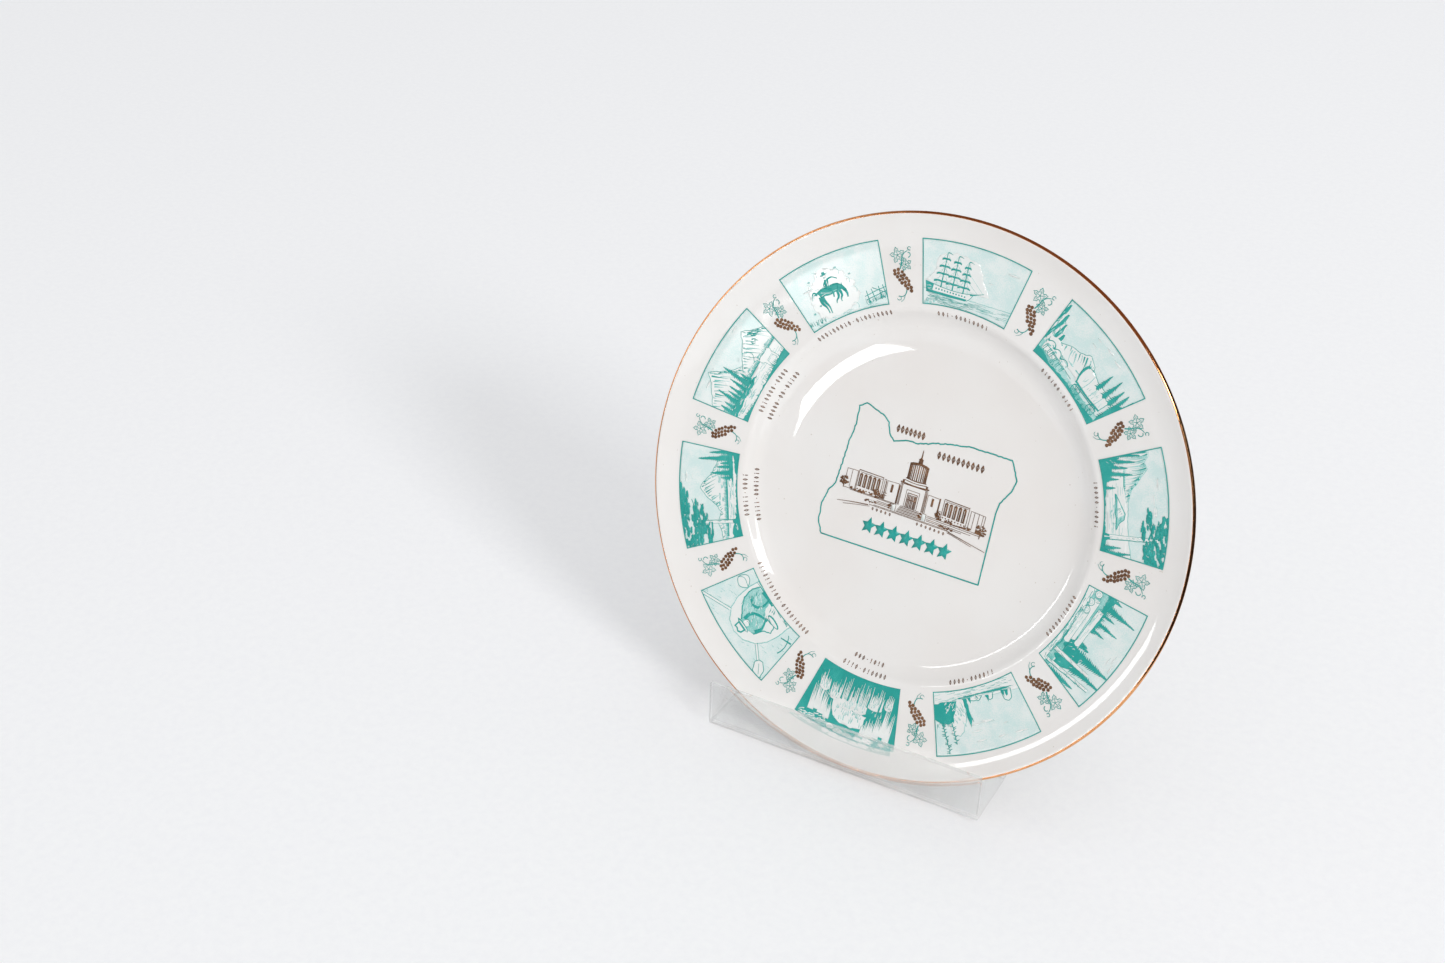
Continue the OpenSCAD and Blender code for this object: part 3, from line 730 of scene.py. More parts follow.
def draw_lake(ink):
    ink.clouds(-16, 2, 19, 24, 4)
    cliffs = [(-24, 18), (-20, 18.2), (-17.6, 16.6), (-15, 17.8), (-12, 15.4), (-9, 13.6), (-6.6, 11.4), (-2, 10),
              (6, 9.6), (14, 10), (22, 11)]
    ink.fill("white", ink.rough(cliffs, 0.3) + [(22, 8), (-24, 8)])
    ink.line("half", ink.rough(cliffs, 0.15), 0.3)
    for k in range(30):
        x, y = along(cliffs[:8], (k + 0.5) / 30)
        drop = (y - 8) * ink.draw.uniform(0.4, 0.95)
        ink.line("half" if k % 3 else "dark", [(x, y - 0.3), (x + 0.8, y - drop / 2), (x + 1.1, y - drop)],
                 ink.draw.uniform(0.4, 1.2), 0.1)
    ink.treeline(-15, 10, 8, 1.3, "half")
    ink.treeline(-13, -4, 7.9, 1, "dark")
    ink.fill("white", [(-24, 8.1), (-8, 8), (-5, 8.6), (2, 9.3), (10, 9.2), (22, 9), (22, 1), (-24, 1)])
    ink.water(-9, 12, 2.2, 8, 24, "half", 5)
    ink.fill("half", ink.rough([(-4.6, 5), (-2, 6.4), (0.4, 7.4), (3.2, 8.6), (5, 8.2), (6.6, 6.4), (9, 5)], 0.15))
    ink.fill("white", ink.rough([(-3, 5.6), (0, 6.8), (3.2, 8.2), (4, 6.8), (5, 5.6)], 0.15))
    ink.line("dark", ink.rough([(-4.6, 5.1), (-1.6, 6.4), (3, 8.7), (5.2, 8.2), (6.8, 6.2), (9, 5.1)], 0.1), 0.3)
    ink.line("dark", ink.rough([(-4.8, 4.8), (9.4, 4.9)], 0.15), 0.6, 0.4)
    ink.strokes("dark", 14, (0, 5.4, 7, 7.6), (0.7, -0.9), 0.22)
    ink.strokes("half", 10, (-5, 3, 8, 4.4), (2.6, 0), 0.4)
    for x, h, w in ((-20, 15.6, 5.6), (-17.4, 13.6, 5), (-15, 10.6, 4.6), (-12.4, 12.6, 4.4), (-10.4, 7, 3.6),
                    (-7, 5.6, 3), (-21.5, 18, 6)):
        ink.pine(x, -0.5, h, w)
    ink.ground([(-24, 6), (-19, 6.4), (-15, 3.6), (-11.4, 3), (-8, 1.2), (-2, 0.6), (4, 0.2), (22, 0.8)])
    ink.trunk(12, -1.4, 12.9, 22, 2)
    ink.fill("dark", [(10, -1.4), (11.2, 2), (12.8, 2.4), (14.8, -1.4)])
    ink.line("white", [(12, 0), (12.1, 2.2)], 0.5, 0.2)
    for x0, y0, x1, y1 in ((12.7, 18, 6, 20), (12.8, 20, 3.6, 17.4), (13, 17, 19, 19), (12.8, 21, 20, 21.6),
                           (12.8, 22, 6, 23.6)):
        ink.line("dark", ink.rough([(x0, y0), (x1, y1)], 0.3, 2), 0.7, 0.25)
    for box, n in (((4, 21.6, 11, 26), 22), ((1, 17.4, 8.6, 19.4), 18), ((7, 19, 21, 23.4), 40),
                   ((11, 23, 24, 27), 34),
                   ((14, 15.6, 23, 19.6), 30), ((5.6, 15, 12.4, 16.6), 14), ((20, 17, 24, 24), 20)):
        ink.foliage(box, n, 2.5)
    for x, h, w in ((16.4, 7.6, 3.4), (18.8, 11.4, 4.4), (21, 9.4, 5)):
        ink.pine(x, -0.6, h, w)
    ink.strokes("white", 12, (-20, 1, -12, 9), (0.6, 0.9), 0.16)


def draw_timber(ink):
    ink.clouds(-12, 4, 21, 25, 3)
    ink.treeline(-21, -3, 8.6, 3.4)
    ink.ground([(-22, 8), (-15, 8.8), (-4, 8.4), (6, 6.4), (12, 4.4), (22, 4)], "half", 0.3)
    for x, y, h, w in ((-15.4, 8, 15, 5.2), (-8, 8.6, 11, 3.8), (-19.4, 7, 7, 4.4), (-12, 8, 7.4, 3.6),
                       (-4.4, 8.6, 7, 3),
                       (4, 6, 8, 5), (7.6, 3.6, 22.4, 9), (13.4, 3, 23.2, 7.6), (3, 7, 5.6, 4), (20, 3.4, 14, 5.4),
                       (22.6, 3, 17, 5)):
        ink.pine(x, y, h, w)
    ink.fill("dark", ink.rough([(3.6, 5), (6, 11), (10, 13), (15, 11), (17, 5), (3.6, 5)], 0.5, 1)[:-1])
    ink.fill("dark", ink.rough([(-21.6, 7.6), (-19, 10.6), (-14, 10), (-9, 10.4), (-3, 9.6), (-2, 8), (-21.6, 7.6)],
                               0.4, 1)[:-1])
    ink.strokes("white", 16, (5, 6, 15, 20), (0.5, -1), 0.18)
    ink.log(-12.4, 8.3, 4.8, 8.1, 1.35)
    ink.log(-15.2, 4.4, 3.6, 5.2, 1.5)
    ink.log(-8.8, 3.1, 6, 3.6, 1.5)
    for x, y in ((-17.4, 3.6), (-13, 2.7), (-9.4, 2.9)):
        ink.blob("white", x, y, 2.9, 3.3, 0.06, 14)
        ink.line("dark", arc((x, y), 1.5, 0, 345, 16), 0.22)
        ink.line("half", arc((x, y), 0.8, 0, 320, 10), 0.16)
    ink.line("white", [(11.4, 1.6), (11.7, 18.8)], 1.9, 1.7)
    ink.trunk(11.4, 1.6, 11.7, 18.8, 1.9)
    ink.trunk(17, 1, 16.6, 22.4, 1.5)
    ink.fill("white", [(11.1, 18.6), (11.8, 19.6), (12.2, 18.4)])
    ink.ground([(-22, 1.8), (-12, 1.4), (-4, 1.8), (8, 1.4), (20, 1.4)], "white", 0.2)
    ink.strokes("dark", 26, (-18, 0, 16, 2.4), (3.4, 0.3), 0.26)
    ink.strokes("half", 40, (-18, -0.8, 15, 2.6), (3, 0.2), 0.3)
    ink.line("dark", ink.rough([(2, 2.2), (8, 2.4), (14, 1.2)], 0.2), 0.7, 0.3)


def draw_coast(ink):
    ink.clouds(-18, 6, 15, 23, 7)
    ink.clouds(-4, 4, 12, 17, 3)
    ink.line("half", ink.rough([(-22, 4.9), (22, 5)], 0.05), 0.2)
    ink.fill("white", [(-22, 4.8), (22, 4.8), (22, -3), (-22, -3)])
    for path in ([(-15.6, 4), (-15, 8), (-13.6, 8.8), (-12, 8), (-11.2, 4)],
                 [(-7.6, 4.2), (-7, 6.4), (-5.4, 6.6), (-4, 4.4)],
                 [(-2.6, 4.2), (-1, 6), (1.4, 5.6), (3.4, 5), (4, 3.4)]):
        ink.fill("white", path)
        ink.line("dark", ink.rough(path, 0.15), 0.34, 0.3)
        x, y = path[-1]
        ink.fill("dark", ink.rough([(x - 1.6, y + 0.2), (x - 1, y + 3), (x, y)], 0.2, 0.8))
    ink.fill("dark", [(-14.4, 4.2), (-13.9, 6.4), (-13.1, 6.8), (-12.6, 4.2)])
    ink.strokes("dark", 14, (-3, 3.4, 3.4, 5.6), (0.9, -0.7), 0.26)
    ink.fill("dark", ink.rough([(4.2, 3.6), (4.4, 9), (4, 12.6), (5.4, 15.8), (5.9, 12), (5.7, 8), (6.4, 3.6)], 0.18,
                               1.2))
    ink.line("dark", [(4, 12), (3.7, 13.8)], 0.4, 0.15)
    ink.fill("white", ink.rough([(6, 4), (6.6, 12), (9, 16.8), (11, 18.2), (14, 17), (15, 10), (12, 4)], 0.3, 2))
    ink.line("half", ink.rough([(5.8, 8), (6.8, 12.6), (9, 16.8), (11, 18.2), (14, 17.2)], 0.2), 0.3)
    ink.strokes("half", 22, (6.4, 6, 11, 15), (0.5, -1.8), 0.3)
    ink.fill("dark", ink.rough([(8.8, 4), (10, 7), (11.4, 9.2), (12.2, 12), (15, 12.4), (18, 11.4),
                                (20.4, 8.6), (21.6, 3.4),
                                (15, 3), (8.8, 4)], 0.3, 1.1)[:-1])
    ink.strokes("white", 18, (10.4, 4.4, 15, 8), (-0.9, -1.1), 0.26)
    for x, y, h in ((13.2, 11.6, 9), (17.3, 11, 12.6)):
        ink.line("dark", [(x, y), (x + 0.1, y + h)], 0.4, 0.2)
        for k in range(round(h * 1.6)):
            level = y + 1.4 + k * 0.6
            ink.line("dark", [(x, level), (x + ink.draw.choice((-1, 1)) * ink.draw.uniform(0.6, 1.7), level - 0.35)],
                     0.5, 0.15)
    ink.strokes("dark", 16, (12, 11, 20, 12), (0.1, 1.4), 0.3)
    ink.water(-18, 17, -0.6, 4.4, 52, "half", 6)
    ink.water(-18, 16, 0, 4, 20, "dark", 2.6)
    ink.fill("dark", ink.rough([(-17.5, 3.2), (-12, 3.9), (0, 3.6), (8, 3.4), (8, 3), (-6, 3), (-17.5, 3.2)],
                               0.12, 1)[:-1])


def draw_cave(ink):
    ink.fill("dark", [(-26, -4), (-26, 28), (26, 28), (26, -4)])
    ink.strokes("white", 20, (-22, 22, -12, 25.4), (1.4, -0.6), 0.4)
    ink.strokes("white", 22, (9, 21.4, 21, 24), (1.8, 0.3), 0.5)
    for x, y, w, h in ((-11, 24.2, 4.4, 2.6), (-7, 25.4, 5, 2.4), (-2, 25.6, 5, 2.6), (2.6, 25.2, 4.6, 2.6),
                       (6.6, 24.4, 3.6, 2.2)):
        ink.blob("white", x, y, w, h, 0.12, 13)
        ink.line("dark", arc((x, y - 0.4), w * 0.42, 200, 340, 6), 0.2)
    curtains = ((-18.6, 20, 2.2, 12), (-16.2, 19, 1.8, 16), (-13.6, 20.4, 2.4, 10), (-11, 21.4, 2.6, 8.4),
                (12.4, 19.6, 2.6, 11),
                (15, 18.6, 2.2, 15), (17.4, 19.4, 2, 12), (9.8, 20.6, 2.2, 7), (-8.2, 22, 2.4, 6))
    for x, y, w, drop in curtains:
        for k in range(5):
            px = x + w * (k / 4 - 0.5)
            ink.line("white", [(px, y + 1.4), (ink.near(px, 0.2), y - drop * 0.4),
                               (ink.near(px, 0.3), y - drop * ink.draw.uniform(0.6, 1))], w * 0.36, 0.1)
    ink.fill("white", ink.rough([(-7.6, 15), (-6.6, 20.6), (-2, 22), (3, 21.6), (7, 19.4), (8.6, 15), (9.4, 8),
                                 (-1, 15), (-7.6, 15)], 0.4, 1.4)[:-1])
    ink.strokes("half", 40, (-6, 15, 7, 20.6), (0.2, -1.7), 0.34)
    ink.strokes("white", 30, (-17, 4, 17, 14), (0.1, -2), 0.24)
    mounds = ((-9.6, 9.6, 7, 9), (-3.4, 13.4, 6.6, 12.6), (2.6, 13.8, 7.6, 13), (8.6, 11.6, 5, 10),
              (14.2, 9.4, 4.4, 8), (-15.4, 7.4, 3.6, 6))
    for x, y, w, h in mounds:
        ink.blob("white", x, y, w, 3.2, 0.12, 14)
        for k in range(round(w * 1.8)):
            px = x + w * (k / (w * 1.8) - 0.46)
            ink.line("white", [(px, y + 0.6), (ink.near(px, 0.2), y - h * 0.4),
                               (ink.near(px, 0.2), y - h * ink.draw.uniform(0.45, 0.95))], 0.62, 0.12)
        ink.strokes("half", round(w * 3), (x - w * 0.4, y - h * 0.2, x + w * 0.4, y + 0.8), (0.1, -1.6), 0.24)
    for x in (-6.4, -1.8, 0.6, 2.6, 5.8, 7.6, -11.8):
        ink.line("dark", [(x, ink.near(10.4, 1.4)), (ink.near(x, 0.3), 6), (ink.near(x, 0.3), ink.near(1.6, 0.8))],
                 0.75, 0.35)
    ink.fill("dark", ink.rough([(-20, -3), (-19.6, 3.4), (-15, 1.2), (-9, 1.6), (-2, 0.2), (6, 1), (12, 0.4),
                                (17, 3.6), (20, -3)], 0.3, 1))


def draw_prospector(ink):
    ink.strokes("half", 60, (-24, 2, 23, 24), (1.6, 0.5), 0.22)
    arch = [(-12, -2), (-12.4, 6), (-11.6, 12), (-9, 17), (-4.4, 20.6), (1, 21.8), (6, 20.4), (10, 16.6), (12, 11),
            (12.4, 4), (11.6, -2)]
    ink.fill("white", arch)
    ink.line("half", ink.rough(arch, 0.1), 0.4)
    for side, points in ((-1, [(-22.6, 24), (-9.4, 16.4)]), (1, [(9.4, 17.4), (23.6, 24)])):
        ink.line("white", points, 1.3)
        for shift in (-0.62, 0.62):
            ink.line("dark", [(x, y + shift) for x, y in points], 0.24)
    blade = [(-22.4, 24.6), (-20.8, 20.4), (-17.6, 18.6), (-15.8, 19.4), (-15.2, 21.4), (-17.6, 24.4)]
    ink.fill("white", blade)
    ink.line("dark", ink.rough(blade + blade[:1], 0.06), 0.34)
    ink.line("dark", [(-20.6, 23.4), (-17, 20.4)], 0.2)
    ink.line("dark", arc((-9.4, 9), 8.8, 168, 232, 10), 0.55, 0.3)
    ink.line("dark", [(-18.4, 3.4), (-13.6, 5.6)], 0.8, 0.4)
    box = [(12.4, 5.4), (15, 8.6), (19.4, 6.4), (17.4, 2), (14.4, 2.4)]
    ink.fill("white", box)
    ink.line("dark", box + box[:1], 0.3)
    ink.line("dark", [(12.8, 5), (17, 3.6), (19, 6.2)], 0.24)
    # The kneeling miner, head bent over the pan
    ink.fill("half", ink.rough([(-5, 15.4), (-1.6, 17), (2.4, 16.2), (5, 13.6), (9, 11), (10.8, 6), (9.6, 1),
                                (2, 0.2), (-0.4, 5),
                                (-4, 7.4), (-6.4, 10.6), (-5, 15.4)], 0.3, 1.2)[:-1])
    ink.line("dark", ink.rough([(-5.2, 15.2), (-6.6, 10.8), (-9.4, 8.4), (-8, 5.6), (-3, 6.2)], 0.15), 0.55, 0.4)
    ink.line("dark", ink.rough([(3, 16), (6.4, 13), (10, 9), (10.8, 4), (9.4, 0.4), (-6, -0.4)], 0.2), 0.6, 0.5)
    ink.line("dark", [(2.4, 14.6), (3, 11), (0, 8), (-4.4, 6.6)], 1.7, 0.9)
    ink.line("dark", [(-4.6, 14), (-6, 10.8), (-3.6, 7)], 1.5, 0.8)
    ink.line("dark", [(8.6, 6.4), (4, 8.2), (1.6, 4.6), (2.6, 0.6)], 1.4, 0.8)
    ink.line("dark", [(7, 0.8), (3, 0.6), (-0.4, 1)], 1.6, 0.7)
    ink.strokes("white", 26, (-4.6, 2, 8.4, 13.6), (1.1, -1.3), 0.32)
    ink.strokes("dark", 30, (-4, 2, 9, 13), (0.9, -1.2), 0.3)
    ink.blob("white", 0.4, 14.9, 3, 3.1, 0.06, 14)
    ink.line("dark", [(-0.6, 14.2), (0.1, 13.8), (0.9, 14.2)], 0.22, 0.15)
    ink.line("dark", arc((0.5, 14.8), 1.5, 190, 350, 8), 0.3)
    ink.blob("dark", 0.6, 16.8, 7.6, 1.8, 0.05, 16)
    ink.blob("white", 0.3, 16.9, 6.2, 1, 0.05, 14)
    ink.fill("dark", [(-1.9, 16.9), (-1.7, 19.6), (-0.2, 20.6), (1.4, 19.9), (2.8, 20.2), (3.2, 17)])
    ink.fill("white", [(-1.2, 17.6), (-1, 19.2), (0, 19.9), (1.2, 19.3), (2.2, 19.5), (2.5, 17.7)])
    ink.line("dark", [(-1.4, 17.5), (2.7, 17.6)], 0.45)
    ink.blob("dark", -6.2, 4.6, 7.4, 2.4, 0.03, 16)
    ink.blob("white", -6.2, 4.8, 6.2, 1.5, 0.03, 14)
    ink.strokes("dark", 20, (-12, -0.6, 10, 0.8), (2.4, 0.1), 0.3)


def draw_snow_peak(ink):
    ink.clouds(6, 20, 19, 24, 3)
    ink.peak([(-9, 6.4), (-5.4, 9), (-3, 11.4), (0, 14.6), (3.2, 16.8), (5.6, 15.4), (8.6, 12), (12.4, 9.6),
              (15, 8.4)], 6, "right", 30)
    ink.peak([(-22, 7), (-16, 7.6), (-12.4, 9), (-8, 8)], 5.4, "right", 8)
    ink.fill("white", [(-24, 4.4), (24, 5), (24, 0), (-24, 0)])
    ink.treeline(-20, 20, 4.6, 2, "half")
    ink.treeline(-18, 8, 4.2, 1.5, "dark")
    ink.water(-16, 17, 1.4, 4, 40, "half", 5)
    ink.strokes("half", 16, (-6, 2, 14, 3.6), (3.6, 0), 0.4)
    for x, y, h, w in ((9.6, 2.4, 9.6, 4), (7.4, 2.6, 5, 3), (12.2, 2.2, 7, 3.4), (16, 1.6, 15.6, 5),
                       (18.6, 2, 10, 4), (13.8, 2.4, 5, 3), (20.4, 2, 7, 3.6)):
        ink.pine(x, y, h, w)
    ink.fill("dark", ink.rough([(5, 2), (9, 3.2), (14, 3.4), (21, 3.6), (21, 1.2), (12, 1.4), (5, 2)], 0.25, 1)[:-1])
    ink.ground([(-22, 2.2), (-15, 2.6), (-11, 1.6), (-4, 0.6), (2, 0.9), (8, 0.2), (14, 1), (21, 1.4)])
    ink.strokes("white", 10, (-16, 0, -6, 1.4), (1.6, 0.2), 0.2)
    ink.trunk(-11.4, -1, -11.9, 15, 1.7)
    ink.fill("dark", [(-13.2, -1), (-12.1, 2.4), (-10.9, 2.6), (-9.2, -1)])
    for x0, y0, x1, y1 in ((-11.9, 13, -17, 15), (-11.8, 15, -4, 17), (-11.9, 12, -18, 11.6), (-11.9, 17, -2, 21),
                           (-12, 18, -20, 20)):
        ink.line("dark", ink.rough([(x0, y0), (x1, y1)], 0.3, 2), 0.8, 0.3)
    for box, n in (((-24, 19, -8, 26), 62), ((-13, 22.4, 1, 27), 44), ((-10, 17.4, -3, 20), 20),
                   ((-21.6, 15, -12, 18.6), 30),
                   ((-20.6, 11.6, -15, 13.4), 14), ((-9, 15.4, -5.4, 17), 8), ((-16, 14, -8, 16), 12),
                   ((0, 24, 4, 26), 8)):
        ink.foliage(box, n, 2.7)


def draw_mountains(ink):
    ink.clouds(-20, 20, 21, 25, 3)
    ink.peak([(-24, 12), (-19.6, 16), (-16, 18.6), (-13, 20.6), (-10, 24), (-7.4, 21), (-5, 17.8), (-2.4, 15),
              (1.6, 12), (4, 11)], 7, "right", 34)
    ink.peak([(-1, 11), (4, 14.6), (7, 16.4), (10, 18), (13.4, 20.8), (15.6, 18.6), (18.6, 15.6), (22, 13), (24, 12)],
             7, "right", 32)
    ink.strokes("dark", 12, (12, 14, 18, 18), (1.2, -1.4), 0.6)
    ink.treeline(-22, 22, 7, 2.6, "half")
    ink.treeline(-2, 22, 6.6, 1.8, "dark")
    ink.fill("white", [(-22, 6.6), (22, 7), (22, 0), (-22, 0)])
    ink.water(-10, 18, 1.6, 6.2, 34, "half", 5)
    for x, y, h, w in ((-18.6, 4, 8, 4), (-16.4, 4.4, 7, 3.6), (-13.6, 4, 12.4, 4.4), (-11.4, 4.6, 8, 3.4),
                       (-9.4, 4.2, 9, 4), (-6.6, 4.6, 10, 3.6),
                       (-4, 4.8, 15, 5), (-20.6, 4, 6, 4), (-2, 5, 7, 3.6)):
        ink.pine(x, y, h, w)
    ink.fill("dark", ink.rough([(-21.4, 2.8), (-20, 6.4), (-12, 6.6), (-2, 6.4), (1.6, 5.4), (-4, 4.2), (-12, 4),
                                (-21.4, 2.8)], 0.3, 1)[:-1])
    ink.strokes("white", 12, (-19, 4, -4, 6), (1.8, 0.1), 0.2)
    ink.strokes("half", 14, (-18, 1.6, -6, 3.4), (2.8, 0.2), 0.4)
    # The deer, side on, looking round
    body = [(7.8, 7.6), (9, 8), (12, 7.6), (14.2, 8), (14.9, 6.8), (14.3, 5.4), (14.6, 1.8), (13.9, 1.8),
            (13.3, 4.8), (10, 4.7),
            (9.4, 1.6), (8.7, 1.6), (8.6, 4.9), (7.6, 5.8), (7.2, 8.6), (6.4, 9), (6.3, 9.8), (7.2, 10.4),
            (8, 9.9), (8.1, 8.8)]
    ink.fill("white", body)
    ink.line("dark", body + body[:1], 0.16)
    for side in (-1, 1):
        ink.line("dark", [(7.3, 10.4), (7.3 + side * 0.9, 11.4), (7.3 + side * 0.7, 12.6)], 0.22, 0.1)
        ink.line("dark", [(7.3 + side * 0.8, 11.4), (7.3 + side * 1.5, 12)], 0.16, 0.08)
    ink.ground([(-20, 0.4), (-10, 0), (-2, 0.3), (4, 1), (12, 1.2), (20, 1.6)])
    ink.grass(0, 18, 1, 1.7, 50)
    ink.grass(-18, 0, 0, 1.1, 26)


DRAWINGS = {
    "rider": draw_rider, "ship": draw_ship, "wagon": draw_wagon, "lake": draw_lake, "timber": draw_timber,
    "coast": draw_coast, "cave": draw_cave, "prospector": draw_prospector, "snow_peak": draw_snow_peak,
    "mountains": draw_mountains,
}


# ---------------------------------------------------------------- sprays, captions and centre

def draw_leaf(ink, x, y, size, turn):
    """A five-lobed vine leaf in outline with veins."""
    def at(r, a):
        a = math.radians(a + turn)
        return (x + r * math.sin(a), y + r * math.cos(a))
    edge = []
    for k in range(40):
        a = 9 * k
        lobe = 0.74 + 0.26 * math.cos(math.radians(5 * a)) + 0.07 * (-1) ** k
        edge.append(at(size * lobe, a))
    ink.line("dark", edge + edge[:1], 0.26)
    for a in (0, 72, -72, 144, -144):
        ink.line("dark", [at(0, 0), at(size * 0.45, a + 4), at(size * 0.78, a)], 0.24, 0.1)
        for r in (0.35, 0.55):
            for side in (-1, 1):
                ink.line("half", [at(size * r, a), at(size * (r + 0.16), a + side * 24)], 0.16, 0.07)


def draw_vine(ink):
    """Two leaves on a stem with curling tendrils, which the grapes hang beside."""
    def curl(x, y, r, growth, turns, width, end):
        ink.line("dark", [(x + (r + a * growth) * math.sin(math.radians(a)),
                           y + (r + a * growth) * math.cos(math.radians(a)))
                          for a in turns], width, end)

    draw_leaf(ink, -1.9, 7.9, 3.1, -12)
    draw_leaf(ink, 1.3, 4.1, 2.6, 205)
    ink.line("dark", [(-1.2, 2.4), (-0.4, 4.6), (-0.2, 7), (1, 8.8), (2.6, 9.6)], 0.5, 0.26)
    curl(2.6, 8.2, 0.6, 1 / 230, range(0, 200, 20), 0.3, 0.34)
    curl(3.4, 10.4, 0.7, 0, range(150, 460, 26), 0.34, 0.2)
    ink.line("dark", [(1.2, -5), (0.8, -7), (0, -8.4), (-1.4, -8.9), (-2.8, -8.6)], 0.4, 0.28)
    curl(-2.6, -9.4, 0.85, 0, range(-20, 290, 24), 0.28, 0.16)
    ink.line("dark", [(0, -8.4), (-0.6, -10), (-2, -11)], 0.26, 0.12)


BUNCH_TOP, BUNCH_STEP, BUNCH_ROWS = (-2.9, 2), (0.84, -1.25), (2, 3, 3, 3, 3, 2, 2, 1)
GRAPE_R, GRAPE_STEP = 0.74, (1.5, 0.35)

# Ornaments in each group of each caption row
CAPTION_LINES = (["9.9"], ["3.8"], ["6.4"], ["5.4"], ["11"], ["6.4"], ["6.4", "4.3"], ["9.10"], ["5.4", "5.7"],
                 ["7.4", "5.2.5"])
CAPTION_R, CAPTION_PITCH, CAPTION_STEP = 77.2, 1.42, 4

REGION = [
    (-38, -30), (-40.5, -25), (-41, -17), (-39, -10), (-37, -7), (-36, 3), (-35.5, 12), (-34, 20),
    (-34.5, 28), (-31.5, 30),
    (-27, 28.5), (-22.5, 27), (-20, 25), (-18.5, 20.5), (-16, 18), (-10, 20), (-5.5, 20), (2, 22.5),
    (8, 24), (12, 24.5),
    (17, 25.5), (35, 25.5), (36.5, 23), (39, 18), (38, 13), (34.5, 7), (34, 2.5), (34.5, -28.5)]


def draw_region(ink):
    """The region's outline: rough along the coast and river, calmer on the border, straight at the foot."""
    coast = ink.rough(REGION[:-7], 0.22, 1.1)
    border = ink.rough(REGION[-8:-2], 0.15, 1.2)
    path = coast + border[1:] + [REGION[-2], REGION[-1]]
    steps = [path[0]]
    for a, b in zip(path, path[1:]):
        n = max(1, round(math.dist(a, b) / 4))
        steps += [(a[0] + (b[0] - a[0]) * k / n, a[1] + (b[1] - a[1]) * k / n) for k in range(1, n + 1)]
    for a, b in zip(steps, steps[1:]):
        ink.line("dark", [a, b], 0.58)
    for x, y in steps:
        ink.blob("dark", x, y, 0.58, 0.58, 0, 8)
    ink.line("dark", [REGION[-1], along([REGION[-1], REGION[0]], 0.5), REGION[0]], 0.58)


